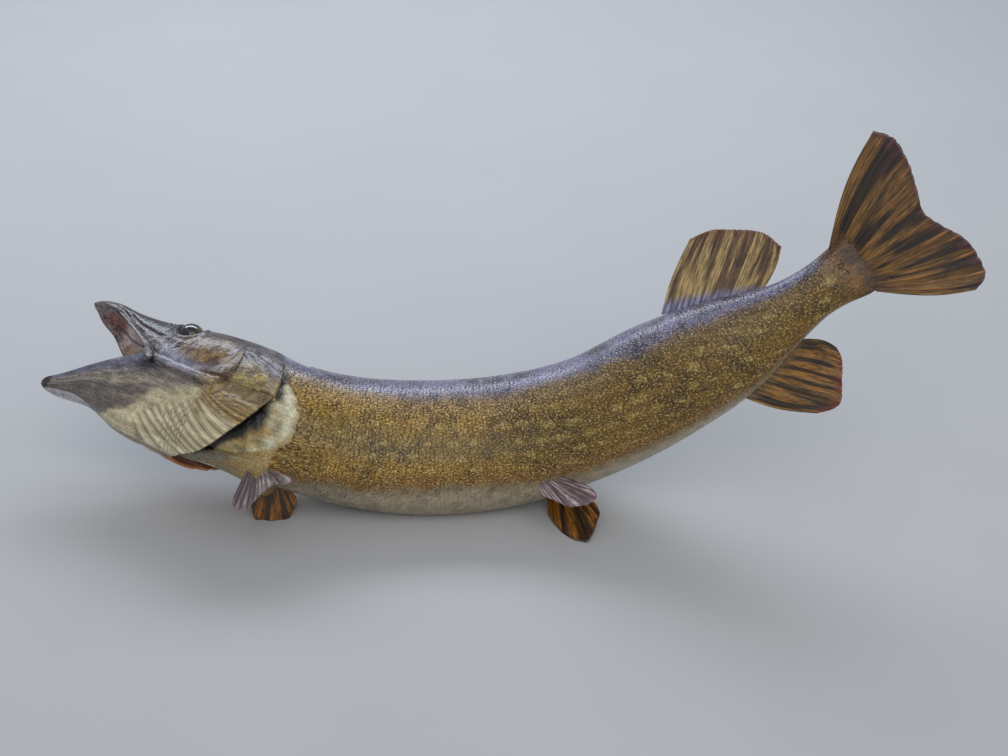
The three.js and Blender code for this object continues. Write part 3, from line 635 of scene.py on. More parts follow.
def head_tint(points, top):
    """Colour of the skull's outside: lilac-grey, a golden cheek, a pale crescent round it, and a
    brown band between the crescent and the collar.  top is 1 on the outside of the section."""
    back, up, left = channels(head_place(points))
    cloud, grain = layered(points, *HEAD_CLOUDS), layered(points, *HEAD_GRAIN)
    crown = smooth(np.abs(left) + 0.2 * up, 34, 16) * smooth(back, 25, 60)
    along = (back - CHEEK_BACK) * 0.9 + (up - CHEEK_UP) * 0.43
    across = (up - CHEEK_UP) * 0.9 - (back - CHEEK_BACK) * 0.43
    cheek = smooth(1.15 - np.hypot(along / CHEEK_LONG, across / CHEEK_HIGH), 0, 0.3)
    golden = mottled(CHEEK, CHEEK_GOLD, grain, 0.4, 0.62, 0.35 + 0.65 * smooth(across, 8, -12))
    jowl = smooth(up, -1, -12) * window(back, 112, 126, 172, 186)
    near, share, side = beside(back, up, CRESCENT)
    crescent = bell(near, 3.8) * smooth(share, 0, 0.1) * (0.7 + 0.5 * grain)
    band = smooth(near * side, 3.5, 6.5) * smooth(22 - near, 0, 6) * smooth(38 - up, 0, 6)
    seam, _, side = beside(back, up, MAXILLA_TOP)
    lip = smooth(side * seam, -1, 2.5) * window(back, 18, 34, 114, 134)
    bone = beside(back, up, MAXILLA_LOW)[0]
    ribs = np.clip(bell(bone - 2.6, 1.1) + 0.6 * bell(bone - 7, 1.0), 0, 1)
    red = bell(seam, 2.4) * window(back, 50, 62, 140, 150)
    return painted(
        mottled(SKULL, SKULL_DARK, cloud * 0.6 + grain * 0.4, 0.42, 0.62),
        (SKULL_DARK, 0.7 * crown),
        (LILAC, 0.3 * smooth(back, 196, 214) * smooth(grain, 0.4, 0.6)),
        (golden, cheek),
        (MEMBRANE, jowl * (0.55 + 0.6 * smooth(grain, 0.4, 0.6))),
        (LILAC, crescent),
        (mottled(CHEEK, STRIPE_GOLD, grain, 0.5, 0.7, 0.5),
         band * window(back, 176, 186, 224, 232)),
        # Light lines along the upper jaw's bone: blue-grey with painted shine.
        (blend(LIP_BROWN, LIP_BLUE_AND_SHINE, ribs), lip * top * 0.9),
        (SEAM_RED, red * 0.9))


def blotch(a, b, middle, size):
    """1 inside an ellipse with that middle and size, and 0 outside it, with a soft edge."""
    return smooth(1.2 - np.hypot((a - middle[0]) / size[0], (b - middle[1]) / size[1]), 0, 0.5)


def palate_tint(points):
    """Colour inside the upper jaw: dark and speckled in front, a red-brown blotch, then pinkish
    grey with a dark line along its far side and amber towards the near one."""
    back, _, left = channels(head_place(points))
    grain = layered(points, *PALATE_GRAIN)
    streak = layered(together(back * 0.2, left), *PALATE_STREAKS)
    front_red, rear_red = blotch(back, left, (31, -6), (13, 9)), blotch(back, left, (44, 2), (9, 6))
    return painted(
        mottled(PALATE_DARK, PALATE_SPECK, grain, 0.46, 0.6, 0.9),
        (mottled(PALATE_PINK, PALATE_DARK, streak, 0.5, 0.75, 0.6),
         smooth(back + 14 * (grain - 0.5), 40, 50)),
        (PALATE_RED, front_red * smooth(grain, 0.34, 0.48)),
        (PALATE_RED, rear_red * smooth(grain, 0.36, 0.5) * 0.8),
        (PALATE_SPECK, bell(left + 12.5, 1.1) * smooth(back, 20, 34) * 0.8),
        (AMBER, smooth(left, 5, 12) * smooth(back, 34, 46) * (0.5 + 0.7 * streak)),
        (AMBER, smooth(-left, 14, 20) * smooth(back, 44, 60) * 0.7))


def skull_tint(s, phi, points):
    """Colour of the whole tube of skin, from the snout to the tail."""
    degrees = np.degrees(np.abs(phi))
    form = section(np.minimum(s, SPINE_END))
    girth = phi * (form[..., 0] + form[..., 3]) / 2
    back, up, _ = channels(head_place(points))
    top = smooth(np.cos(phi), -0.25, 0.0)
    # Deep in the gill chamber the colour turns to painted shade.
    head = painted(palate_tint(points),
                   (head_tint(points, top), np.maximum(top, smooth(s, 118, 130))),
                   (mottled(GILL, SLIT_SHADE, s, 205, 235),
                    smooth(degrees, 84, 92) * smooth(s, 168, 200)))
    plate_end = PLATE_REAR(degrees)
    body = blend(body_tint(s, degrees, points, girth), plate_tint(s, degrees, points),
                 smooth(plate_end - s, -1.5, 1.0) * smooth(degrees, 55, 68))
    neck = np.where(degrees > 70, PLATE_FRONT(degrees), plate_end)
    rays = layered(together(s * 0.12, girth * 0.9), *TAIL_RAYS)
    bare = s - 0.25 * np.abs(girth) + 20 * (rays - 0.5)
    # A dark line of painted shade in the gill slit along the cover's rear edge.
    near = beside(back, up, COVER_REAR_LINE)[0]
    slit_shade = smooth(2.8 - near, 0, 1.6) * window(up, 3, 12, 44, 52)
    return painted(
        head,
        (body, smooth(s - neck, -2.0, 1.0)),
        (mottled(TAIL_BASE, STRIPE_DARK, rays, 0.48, 0.6, 0.8),
         smooth(bare, TAIL_TAPER + 6, TAIL_TAPER + 30)),
        (STRIPE_DARK,
         smooth(s + 24 * (rays - 0.5), TAIL_SCALES + 2, TAIL_SCALES + 22) * 0.8),
        (SLIT_SHADE, slit_shade * smooth(s, 225, 235) * 0.9))


def cover_tint(points):
    """Colour of a gill cover: lilac-brown above, greenish gold below with wrinkled dark lines,
    and a dark rim of painted shade along the gill slit."""
    back, up, _ = channels(head_place(points))
    grain = layered(points @ np.diag([0.5, 1, 1]), *COVER_GRAIN)
    wrinkle = layered(together(back * 0.35 - up * 0.1, up), *COVER_WRINKLES)
    lower = smooth(25 + 0.1 * (back - 200) - up, 0, 14)
    edge = beside(back, up, COVER_REAR_LINE)[0]
    near, _, side = beside(back, up, COLLAR)
    brown = mottled(CHEEK, STRIPE_GOLD, grain, 0.5, 0.7, 0.5)
    return painted(
        mottled(COVER, SKULL_DARK, grain, 0.45, 0.7, 0.6),
        (LILAC, smooth(layered(points, *COVER_CLOUDS), 0.52, 0.7) * 0.3),
        (COVER_GREEN, lower * (0.35 + 0.65 * smooth(grain, 0.3, 0.55))),
        (CHEEK, bell(np.hypot(back - 222, up - 9), 8) * 0.8),
        (STRIPE_DARK, lower * bell(wrinkle - 0.5, 0.035) * 0.8),
        (STRIPE_DARK, bell(wrinkle - 0.38, 0.02) * 0.5),
        (COVER_EDGE, bell(edge - 8, 4) * smooth(up, 2, 12) * 0.6),
        # A dark rim of painted shade where the gill slit opens under the rear edge.
        (SLIT_SHADE, smooth(1.8 - edge, 0, 1.2) * 0.8),
        (mottled(brown, LILAC, near, 15, 20), smooth(-near * side, 0, 1.5)),
        (head_tint(points, 1.0), bell(beside(back, up, COVER_FRONT_LINE)[0], 3)))


def throat_marks(v, turn, number):
    """Shares of the ribbed membrane, of the striped part under the gill cover and of the streaked
    side of the jaw at a place on the throat."""
    ribbed = smooth(v - (4.5 + 3.0 * smooth(turn, 0.35, 0.95)), 0.0, 0.4) * smooth(turn, 0.02, 0.1)
    striped = smooth(v, 7.0, 7.5) * smooth(turn - 0.06 * np.sin(number * 2.1), 0.66, 0.76)
    low = STREAK_LOW(v) + 0.1 * (layered(together(v * 2.5, turn * 60), *STREAK_EDGE) - 0.5)
    streaked = smooth(turn - low, -0.05, 0.05) * smooth(v, 7.5, 6.9)
    return ribbed, striped, streaked


def jaw_streaks(v, turn):
    """A field of streaks that run along the jaw."""
    return layered(together(v * 1.1, turn * 46), *JAW_STREAKS)


def throat_tint(v, psi, points, number):
    """Colour of the jaw's and throat's outside: a blue-black rim, grey-brown streaked sides, pale
    ridged membrane, and gold and brown stripes under the gill cover.  number counts the rays."""
    turn = np.abs(psi)
    streak, grain = jaw_streaks(v, turn), layered(points, *JAW_GRAIN)
    ribbed, striped, streaked = throat_marks(v, turn, number)
    side = blend(mottled(JAW, JAW_LINE, streak, 0.5, 0.8, 0.5), JAW_STREAK,
                 bell(streak - 0.36, 0.05) * 0.5)
    patch = bell(v - 4.85, 0.75) * bell(turn - 0.925, 0.055)
    # A thin line along the fold near the jaw's rim, darkened below as painted shade.
    fold_shade = bell(turn - 0.94, 0.013) * window(v, 5.2, 5.6, 6.9, 7.3)
    corner = smooth(turn, 0.955, 0.975) * window(v, 5.1, 5.6, 6.2, 7.2)
    wave = 0.5 + 0.5 * np.sin(number * 2 * math.pi * 1.5 + 2 * (grain - 0.5))
    gold = mottled(STRIPE_GOLD, THROAT_PALE, grain, 0.5, 0.75, 0.4)
    top = LENS_TOP(v)
    lens = smooth(top - turn, 0.0, 0.04) * smooth(v, 0.12, 0.35)
    lens_edge = bell(turn - top - 0.02, 0.04) * window(v, 0.3, 0.6, 1.6, 2.2)
    return painted(
        mottled(THROAT, THROAT_PALE, streak, 0.5, 0.8, 0.8),
        (THROAT_LINE, bell(streak - 0.4, 0.03) * 0.4 * (1 - ribbed)),
        (side, streaked),
        (mottled(JAW_RIM, MEMBRANE, grain, 0.45, 0.7, 0.35),
         smooth(turn, 0.84, 0.93) * smooth(v, 5.6, 4.6)),
        (JAW_BLACK, np.clip(patch * (0.7 + grain), 0, 1)),
        # A thin dark line in the fold by the jaw's rim: painted shade.
        (JAW_BLACK, fold_shade * 0.7),
        (CHEEK, smooth(turn, 0.86, 0.9) * bell(v - 7.25, 0.4) * 0.7),
        (MEMBRANE, corner),
        (blend(STRIPE_DARK, gold, wave), striped * 0.9),
        (JAW_LINE, lens_edge * 0.7),
        (CHIN_LENS, lens * 0.95),
        (CHIN, smooth(v - 0.45 * turn, 0.4, 0.12) * (1 - 0.7 * lens)),
        (THROAT_LINE, bell(psi, 0.045) * smooth(v, 1.8, 3) * 0.6),
        # The far membrane's amber-orange is painted backlight: the window's light shining through
        # it.
        (mottled(BACKLIT_ORANGE, STRIPE_DARK, grain, 0.48, 0.75, 0.8),
         smooth(v, 5.9, 6.4) * (psi < 0)))


# ---------------------------------------------------------------- meshes
def make_mesh(name, points, faces, material, slot, replaced=(), smooth_shading=True, **attributes):
    """A piece made of points in specimen millimetres and lists of faces with 3 or 4 corners; each
    attribute is one number or one vector a point, and smooth_shading is one choice or one a face.
    What would reach below the floor lies on it."""
    mesh = bpy.data.meshes.new(name)
    points = np.maximum(points, [-np.inf, -np.inf, 0])
    corners = np.concatenate([f.ravel() for f in faces]).astype(np.int32)
    sizes = np.concatenate([np.full(len(f), f.shape[1]) for f in faces])
    starts = np.cumsum(sizes) - sizes
    mesh.vertices.add(len(points))
    mesh.vertices.foreach_set("co", ((points - STAND) * MILLIMETRE).astype(np.float32).ravel())
    mesh.loops.add(len(corners))
    mesh.loops.foreach_set("vertex_index", corners)
    mesh.polygons.add(len(sizes))
    mesh.polygons.foreach_set("loop_start", starts.astype(np.int32))
    mesh.update(calc_edges=True)
    mesh.polygons.foreach_set("use_smooth", np.zeros(len(sizes), bool) | smooth_shading)
    for label, values in attributes.items():
        kind, field = ("FLOAT_VECTOR", "vector") if np.ndim(values) == 2 else ("FLOAT", "value")
        layer = mesh.attributes.new(label, kind, "POINT")
        layer.data.foreach_set(field, np.asarray(values, np.float32).ravel())
    mesh.materials.append(material)
    piece = put(name, mesh)
    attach(piece, "root")
    if replaced:
        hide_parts(*replaced)
    return piece


def tube_grid(places, count):
    """Two grids with a row for each ring of a tube: its place, and the turn of each of the ring's
    points, spread evenly over a full turn."""
    return np.meshgrid(places, np.linspace(0, 2 * math.pi, count, endpoint=False), indexing="ij")


def grid_faces(rows, columns, wrap=False):
    """Quads of a grid of points stored row by row, closed round its columns when wrapped."""
    i, j = np.meshgrid(np.arange(rows - 1), np.arange(columns if wrap else columns - 1),
                       indexing="ij")
    a = i * columns + j
    b = i * columns + (j + 1) % columns
    return np.stack([a, b, b + columns, a + columns], -1).reshape(-1, 4)


def join(shells):
    """Points, faces and attributes of several shells as those of one mesh."""
    points, faces, attributes, first = [], [], {}, 0
    for shell_points, shell_faces, shell_attributes in shells:
        points.append(shell_points)
        faces += [f + first for f in shell_faces]
        for label, values in shell_attributes.items():
            attributes.setdefault(label, []).append(values)
        first += len(shell_points)
    return np.concatenate(points), faces, {k: np.concatenate(v) for k, v in attributes.items()}


def turned_out(shell):
    """The shell with its faces turned round if they enclose a negative volume: the sum over the
    triangles of a . (b x c) / 6."""
    points, faces, attributes = shell
    total = 0.0
    for f in faces:
        for k in range(1, f.shape[1] - 1):
            a, b, c = points[f[:, 0]], points[f[:, k]], points[f[:, k + 1]]
            total += (a * np.cross(b, c)).sum() / 6
    return points, [f if total > 0 else f[:, ::-1] for f in faces], attributes


def capped(grid, **attributes):
    """A tube of rings, given as a grid of points with a row for each, closed at both ends by a fan
    round the middle of the ring, with its faces turned outward."""
    rows, columns = grid.shape[:2]
    ring = np.arange(columns)
    after = (ring + 1) % columns
    last = (rows - 1) * columns
    hub = rows * columns
    caps = np.concatenate([np.stack([after, ring, ring * 0 + hub], 1),
                           np.stack([last + ring, last + after, ring * 0 + hub + 1], 1)])
    flat = lambda values: np.concatenate([values.reshape((hub,) + values.shape[2:]),
                                          values[:1].mean(1), values[-1:].mean(1)])
    return turned_out((flat(grid), [grid_faces(rows, columns, True), caps],
                       {k: flat(v) for k, v in attributes.items()}))


def plate_shell(outer, inner, outer_looks, inner_looks):
    """A closed shell between two grids of points: each row runs over the outer grid and back
    over the inner one, and the first and last rows are closed by quads."""
    rows, columns = outer.shape[:2]
    n = 2 * columns
    j = np.arange(columns - 1)
    start = np.stack([j + 1, j, n - 1 - j, n - 2 - j], 1)
    end = np.stack([j, j + 1, n - 2 - j, n - 1 - j], 1) + (rows - 1) * n
    both = lambda a, b: np.concatenate([a, b[:, ::-1]], axis=1).reshape((rows * n,) + a.shape[2:])
    looks = {label: both(values, inner_looks[label]) for label, values in outer_looks.items()}
    return turned_out((both(outer, inner), [grid_faces(rows, n, True), start, end], looks))


def skin_looks(tint, run, dent=0, ray=0, ribbed=0, streaky=0, wet=0):
    """What the skin's finish reads at each point: its tint, the run of its streaks, the painted
    shade of a groove, the number of the ray under it, and its shares of ribbed, streaky and wet
    skin."""
    blank = np.zeros(run.shape[:-1])
    return {"tint": blank[..., None] + tint, "run": run, "dent": blank + np.clip(dent, 0, 1),
            "ray": blank + ray, "marks": together(blank + ribbed, streaky, wet)}


# ---------------------------------------------------------------- the skin
HEAD_REACH = 250                               # how far the head's fine rings reach
HEAD_RINGS, BODY_RINGS, RING_POINTS = 186, 130, 126
ISTHMUS_GRID, BLADE_GRID = (60, 48), (70, 36)
THROAT_GRID, COVER_GRID = (160, 125), (54, 52)
COVER_TUCK = -0.14                             # how far the cover's rails reach below their corner
COVER_HINGE = (188, 40)                        # where the cover's fine rays spread from
TIP_SHARE = 0.1                                # least size of the chin's rounded tip


def scale_end(phi):
    """Place along the spine where the tail's scales end, ragged round the girth."""
    return TAIL_SCALES + 16 * (layered(together(np.abs(phi) * 9, 0), *SCALE_EDGE) - 0.5)


def tube_shell():
    """The skin from snout to tail: rings of skin_point, sunk by the coat's depth where scales
    lie, pushed along its normals by the head's relief."""
    tail_tip = SPINE_END + TAIL_REACH
    s, phi = tube_grid(np.concatenate([np.linspace(0, HEAD_REACH, HEAD_RINGS),
                                       np.linspace(HEAD_REACH, tail_tip, BODY_RINGS)[1:]]),
                       RING_POINTS)
    phi = np.where(phi > math.pi, phi - 2 * math.pi, phi)
    degrees = np.degrees(np.abs(phi))
    ragged = 12 * (layered(together(degrees * 0.3, 0), *TAIL_EDGE) - 0.5)
    s = s + ragged * smooth(s, TAIL_SCALES, tail_tip)
    behind = s - PLATE_REAR(degrees)
    scaled = smooth(behind, -2, 3)
    points = skin_point(s, phi, -COAT_DEPTH * scaled)
    height, dent = head_relief(points, phi)
    fade = smooth(HEAD_REACH - s, 0, 18)
    step = -0.7 * bell(behind, 2.2) * smooth(degrees, 55, 75)
    folds = layered(points @ np.diag([0.6, 1, 1]), *SKIN_FOLDS) - 0.5
    tail_folds = layered(together(s * 0.15, degrees * 0.4), *TAIL_FOLDS) - 0.5
    plain = smooth(s - PLATE_FRONT(degrees), -3, 3) * (1 - scaled)
    tail = smooth(s, TAIL_SCALES - 14, TAIL_SCALES + 6)
    relief = height * fade + step + 2.2 * folds * plain + tail * tail_folds
    points = points + outward(points, wrap=True) * relief[..., None]
    palate = smooth(-np.cos(phi), 0.1, 0.3) * smooth(128 - s, 0, 10)
    bare = smooth(s, 222, 240) * (1 - scaled)
    back, _, left = channels(head_place(points))
    run = blend(points, together(back * 0.2, left * 0.7, 0), palate)
    run = blend(run, together(s * 0.3, degrees * (0.8 - 0.4 * tail), 0), bare)
    return capped(points, **skin_looks(skull_tint(s, phi, points), run, dent * fade,
                                       streaky=palate * 0.7 + bare * 0.4 + tail, wet=palate))


def isthmus_shell():
    """The breast's narrow end between the membranes: an ellipse across the head's own axis,
    carried forward along a smooth line and narrowed to a point."""
    t, phi = tube_grid(np.linspace(0, len(ISTHMUS) - 1, ISTHMUS_GRID[0]), ISTHMUS_GRID[1])
    back, up, left, wide, high = channels(flow(np.arange(len(ISTHMUS)), ISTHMUS)(t))
    points = on_head(back, up + high * np.cos(phi), left + wide * np.sin(phi))
    run = together(back * 0.25, phi * 12, 0)
    grain = layered(run, *BREAST_GRAIN)
    points = points + HEAD_LEFT * (1.6 * (grain - 0.5))[..., None]
    tint = painted(mottled(BREAST, PLATE_PALE, grain, 0.6, 0.8, 0.5),
                   (BREAST_GOLD, smooth(grain, 0.48, 0.34) * 0.7),
                   (blend(STRIPE_GOLD, PLATE, grain),
                    smooth(back + 14 * (grain - 0.5), 250, 284) * 0.85),
                   # The narrow front end darkens into painted shade where it runs into the gill
                   # opening.
                   (SLIT_SHADE, smooth(back, 214, 200) * 0.7))
    return capped(points, **skin_looks(tint, run, streaky=0.6))


def blade_shell(side):
    """The rear end of the upper jaw's bone over the mouth's corner: an ellipse across a smooth line
    on the head's side, broad across the line and thin outward."""
    t, phi = tube_grid(np.linspace(0, len(BLADE) - 1, BLADE_GRID[0]), BLADE_GRID[1])
    path = flow(np.arange(len(BLADE)), BLADE)
    back, up, left, half = channels(path(t))
    ahead = unit(path(t + 0.02)[..., :2] - path(t - 0.02)[..., :2])
    share = np.cos(phi)
    across = half * share
    out = left + BLADE_THICK * np.sin(phi) * np.clip(half / 3, 0, 1) - 0.35 * across
    points = on_head(back - ahead[..., 1] * across, up + ahead[..., 0] * across, side * out)
    # A light blue band along the blade: painted highlight on its bone.
    tint = painted(blend(LIP_BROWN, LIP_BLUE_AND_SHINE, bell(share + 0.2, 0.3) * 0.7),
                   (AMBER, smooth(-share, 0.6, 0.9) * 0.7), (SEAM_RED, smooth(share, 0.3, 0.7)))
    return capped(points, **skin_looks(tint, together(back * 0.2, across, up * 0.2), streaky=0.6))


def throat_shell():
    """Lower jaw and throat: the trough's outside with branchiostegal ridges, streaked folds and a
    frayed rear edge, and its inside with the mouth's floor and the tongue."""
    share, psi = np.meshgrid(np.linspace(0, 1, THROAT_GRID[0]), np.linspace(-1, 1, THROAT_GRID[1]),
                             indexing="ij")
    turn, hidden = np.abs(psi), psi < 0
    v = share * np.where(hidden, HIDDEN_EDGE(turn), FRINGE(turn))
    base = throat_point(v, psi, 0.0, 0.0)
    normal = outward(base)
    inward = base - throat_point(v, psi, 1.0, 0.02)
    normal = normal * np.sign((normal * inward).sum(-1, keepdims=True))
    number = ray_number(v, psi)
    ribbed, striped, streaked = throat_marks(v, turn, number)
    ridges = 1.1 * (np.abs(np.sin(math.pi * number)) ** 0.7 - 0.7)
    folds = 1.6 * (jaw_streaks(v, turn) - 0.5)
    points = base + normal * (ribbed * ridges + (1 - ribbed) * folds)[..., None]
    height, dent = head_relief(points)
    upper = smooth(turn, 0.7, 0.85)
    points = points + normal * (height * upper)[..., None]
    ragged = layered(together(psi * 40, v * 0), *FRAYED_EDGE) - 0.5
    fray = (smooth(share, 0.88, 1.0) * ragged * np.where(hidden, *RAGGED))[..., None]
    points = points + HEAD_FORWARD * fray
    tint = throat_tint(v, psi, points, number)
    rim_back, rim_up, rim_out, keel_back, keel_up = channels(throat_rows(v))[:5]
    wall = np.minimum(JAW_WALL, rim_out * 0.45)
    reach = np.hypot(rim_back - keel_back, rim_up - keel_up)
    shallow = 1 - MOUTH_FLOOR[0] - (MOUTH_FLOOR[1] - MOUTH_FLOOR[0]) * np.clip(v / 5, 0, 1)
    floor = shallow + (3.0 / reach - shallow) * smooth(v, MOUTH_END - 0.4, MOUTH_END + 0.4)
    tongue = 0.12 * bell(turn, 0.3) * window(v, 1.6, 2.6, MOUTH_END - 0.8, MOUTH_END)
    inner = throat_point(v, psi, wall - 1.2 * smooth(v, 5, 6), floor + tongue)
    inner = inner + HEAD_FORWARD * fray
    middle = on_head((rim_back + keel_back) / 2, (rim_up + keel_up) / 2, 0 * v)
    tip = np.sqrt(1 - (1 - np.clip(v / CHIN_TIP, 0, 1)) ** 2)
    tip = np.maximum(tip, TIP_SHARE)[..., None]
    points, inner = (middle + (wall_points - middle) * tip for wall_points in (points, inner))
    lining = blend(LINING, TONGUE, bell(turn, 0.3))
    lining = lining * (0.8 + 0.4 * layered(inner, *LINING_GRAIN))[..., None]
    # Inside the far membrane the orange is made 1.6 times as bright: painted light where the lamps
    # send little.
    gill_and_glow = blend(GILL, 1.6 * BACKLIT_ORANGE, hidden * smooth(turn, 0.7, 0.4))
    run = together(v * 4.2, turn * 52, np.sign(psi) * 50)
    streaky = np.maximum(streaked, 0.35 * (1 - ribbed)) + 0.3 * striped
    return plate_shell(points, inner,
                       skin_looks(tint, run, dent * upper, number, streaky=streaky,
                                  ribbed=ribbed * (psi > 0) * (1 - 0.5 * striped)),
                       skin_looks(blend(lining, gill_and_glow, smooth(v, 5.2, 6.2)), run, wet=1))


def cover_shell(side):
    """A gill cover: a crowned plate between its front and rear rails, sunk into the skull's skin
    along its front and top edges and under the membrane along its lower one, with fine rays
    from its upper front corner."""
    a, b = np.meshgrid(np.linspace(0, 1, COVER_GRID[0]), np.linspace(COVER_TUCK, 1, COVER_GRID[1]),
                       indexing="ij")
    front, rear = (flow([0, 0.5, 1], rail)(b) for rail in (COVER_FRONT, COVER_REAR))
    corner = front + (rear - front) * a[..., None]
    back, up, out = channels(corner)
    crowned = out + COVER_CROWN * np.sin(math.pi * a)
    sunk = (1.6 * (1 - smooth(a, 0, 0.1)) + 1.6 * smooth(b, 0.9, 1.0) * smooth(1 - a, 0, 0.15)
            + 3.4 * smooth(-b, -0.02, 0.1))
    fan = np.arctan2(up - COVER_HINGE[1], back - COVER_HINGE[0])
    rays = 0.28 * np.sin(fan * 34 + 3 * layered(corner, *COVER_RAYS)) * smooth(a, 0.1, 0.3)
    points = on_head(back, up + COVER_LIFT, side * (crowned - sunk + rays))
    points = points + HEAD_LEFT * (NECK_SHIFT * a * a)[..., None]
    height, dent = head_relief(points)
    normal = unit(HEAD_LEFT * side + HEAD_UP * 0.25)
    points = points + normal * np.clip(height, -1.2, 1.2)[..., None]
    edge = smooth(1 - a, 0, 0.06)[..., None]
    inner = points - normal * (COVER_WALL * (0.35 + 0.65 * edge))
    points = points - normal * (0.5 * (1 - edge))
    run = together(back * 0.35, up, 0)
    return plate_shell(points, inner, skin_looks(cover_tint(points), run, dent, streaky=0.5),
                       skin_looks(GILL, run))


def make_skin(material):
    """The whole skin as one piece, standing for every node of flesh."""
    points, faces, attributes = join([tube_shell(), isthmus_shell(), throat_shell(), cover_shell(1),
                                      cover_shell(-1), blade_shell(1), blade_shell(-1)])
    nodes = ["head_upper", "trunk_front", "trunk_middle", "trunk_rear", "tail_stalk", "lower_jaw",
             "gill_cover_left", "gill_cover_right", "gill_membrane_left", "gill_membrane_right"]
    return make_mesh("skin", points, faces, material, "flank", nodes, **attributes)


# ---------------------------------------------------------------- scales
SCALE_LONG, SCALE_WIDE = 2.1, 1.8              # a scale's size as a multiple of its pitch
FLOOR_ROOM = 0.8                               # scales nearer to the floor than this are left out
PATCH_SIZE = (0.0015, 0.003)                   # a scale's patch on the map for baking
# Lengths of the coat: start and end along the spine, pitch along it, and scales round the body.
COAT = {"coat_shoulder": (224, 366, 4.3, 106), "coat_breast": (366, 504, 4.3, 106),
        "coat_belly": (504, 640, 4.3, 106), "coat_vent": (640, 768, 4.0, 90),
        "coat_stalk": (768, SPINE_END + TAIL_REACH - 8, 3.5, 70)}


def scale_pattern():
    """A closed scale of 12 sides: a centre and two rings above, and a centre below.  Gives its
    points (across, along, height) with along from 0 at the root to 1 at the tip, and its faces."""
    sides = 12
    turn = np.arange(sides) * 2 * math.pi / sides
    ring = together(np.sin(turn), 0.5 - 0.5 * np.cos(turn))
    ring[:, 0] *= 1 - 0.28 * (1 - ring[:, 1]) ** 2
    middle = np.array([[0, 0.5]])
    flat = np.concatenate([middle, middle + (ring - middle) * 0.62, ring, middle])
    rise = np.concatenate([[0.07], np.full(sides, 0.06), np.full(sides, 0.0), [-0.1]])
    i = np.arange(sides)
    k = (i + 1) % sides
    top = np.stack([i * 0, 1 + i, 1 + k], 1)
    band = np.stack([1 + i, 1 + sides + i, 1 + sides + k, 1 + k], 1)
    below = np.stack([i * 0 + 1 + 2 * sides, 1 + sides + k, 1 + sides + i], 1)
    return flat, rise, [top, band, below]


def half_turn(phi):
    """The turn phi brought to between minus and plus half a turn."""
    return (phi + math.pi) % (2 * math.pi) - math.pi


def on_body(s, phi):
    """Places behind the skull and the bare shoulder plate."""
    degrees = np.degrees(np.abs(half_turn(phi)))
    return (s > PLATE_REAR(degrees) + 1.5) & (s < scale_end(phi))


def scale_roots(start, end, pitch, around):
    """Places (s, phi) of the roots of scales in staggered rows, with a little disorder, where the
    body carries scales and does not lie on the floor."""
    rows = int((end - start) / pitch)
    i, j = np.meshgrid(np.arange(rows), np.arange(around), indexing="ij")
    draw = np.random.default_rng(SEED + int(start))
    s = start + (i + 0.3 * draw.uniform(-1, 1, i.shape)) * (end - start) / rows
    phi = (j + 0.5 * (i % 2) + 0.18 * draw.uniform(-1, 1, i.shape)) * 2 * math.pi / around - math.pi
    s, phi = s.ravel(), phi.ravel()
    keep = on_body(s, phi) & (skin_point(s, phi, 0 * s)[:, 2] > FLOOR_ROOM)
    return s[keep], phi[keep], draw.uniform(0, 1, keep.sum())


def glitter_share(s, phi):
    """How strongly a scale glitters: fully on the flank, faintly on the belly and the tail's root,
    and more in the bright bands."""
    degrees = np.degrees(np.abs(half_turn(phi)))
    band = bright_bands(s, degrees)
    plain = (1 - 0.75 * smooth(degrees - BELLY_BORDER(s), -6, 6)) * (1 - 0.7 * smooth(s, 850, 880))
    return plain * (1 + 0.4 * np.maximum(band, 0.2 * band))


def make_scales(name, start, end, pitch, around, material):
    """One length of the coat: a scale at each root, laid on the skin as skin_point(s, phi, height)
    with its root sunk and its tip just proud of the next scale."""
    s0, phi0, chance = scale_roots(start, end, pitch, around)
    flat, rise, faces = scale_pattern()
    girth = 2 * math.pi / around
    long = SCALE_LONG * pitch * (0.92 + 0.16 * chance[:, None])
    s = s0[:, None] + (flat[None, :, 1] - 0.25) * long
    phi = phi0[:, None] + flat[None, :, 0] * girth * SCALE_WIDE / 2
    lift = rise[None] - COAT_DEPTH - 0.05 + (0.07 + 0.06 * chance[:, None]) * flat[None, :, 1]
    points = skin_point(np.minimum(s, SPINE_END + TAIL_REACH), phi, lift)
    count, size = len(s0), len(flat)
    first = (np.arange(count) * size)[:, None, None]
    stacked = [(f[None] + first).reshape(-1, f.shape[1]) for f in faces]
    roots = skin_point(s0, phi0, -COAT_DEPTH + 0 * s0)
    looks = {"tint": skull_tint(s0, half_turn(phi0), roots), "glitter": glitter_share(s0, phi0)}
    looks = {label: np.repeat(values, size, axis=0) for label, values in looks.items()}
    vane = together(*np.tile(flat.T, count), looks.pop("glitter"))
    form = section(np.minimum(s0, SPINE_END))
    run = together(s * 0.6, phi * (form[:, 0] + form[:, 3])[:, None] * 0.6, 0)
    points, stacked, _ = turned_out((points.reshape(-1, 3), stacked, {}))
    above = np.repeat([True, True, False], [len(f) for f in stacked])
    piece = make_mesh(name, points, stacked, material, "flank", smooth_shading=above, vane=vane,
                      run=run.reshape(-1, 3), **looks)
    home = together(s0 / (SPINE_END + TAIL_REACH), (phi0 / (2 * math.pi)) % 1)
    patch = home[:, None] + (flat[None] - np.array([0, 0.5])) * np.array(PATCH_SIZE)
    layer = piece.data.uv_layers.new(name="OFBake")
    corner = np.empty(len(piece.data.loops), np.int32)
    piece.data.loops.foreach_get("vertex_index", corner)
    layer.data.foreach_set("uv", patch.reshape(-1, 2)[corner].astype(np.float32).ravel())
    return piece


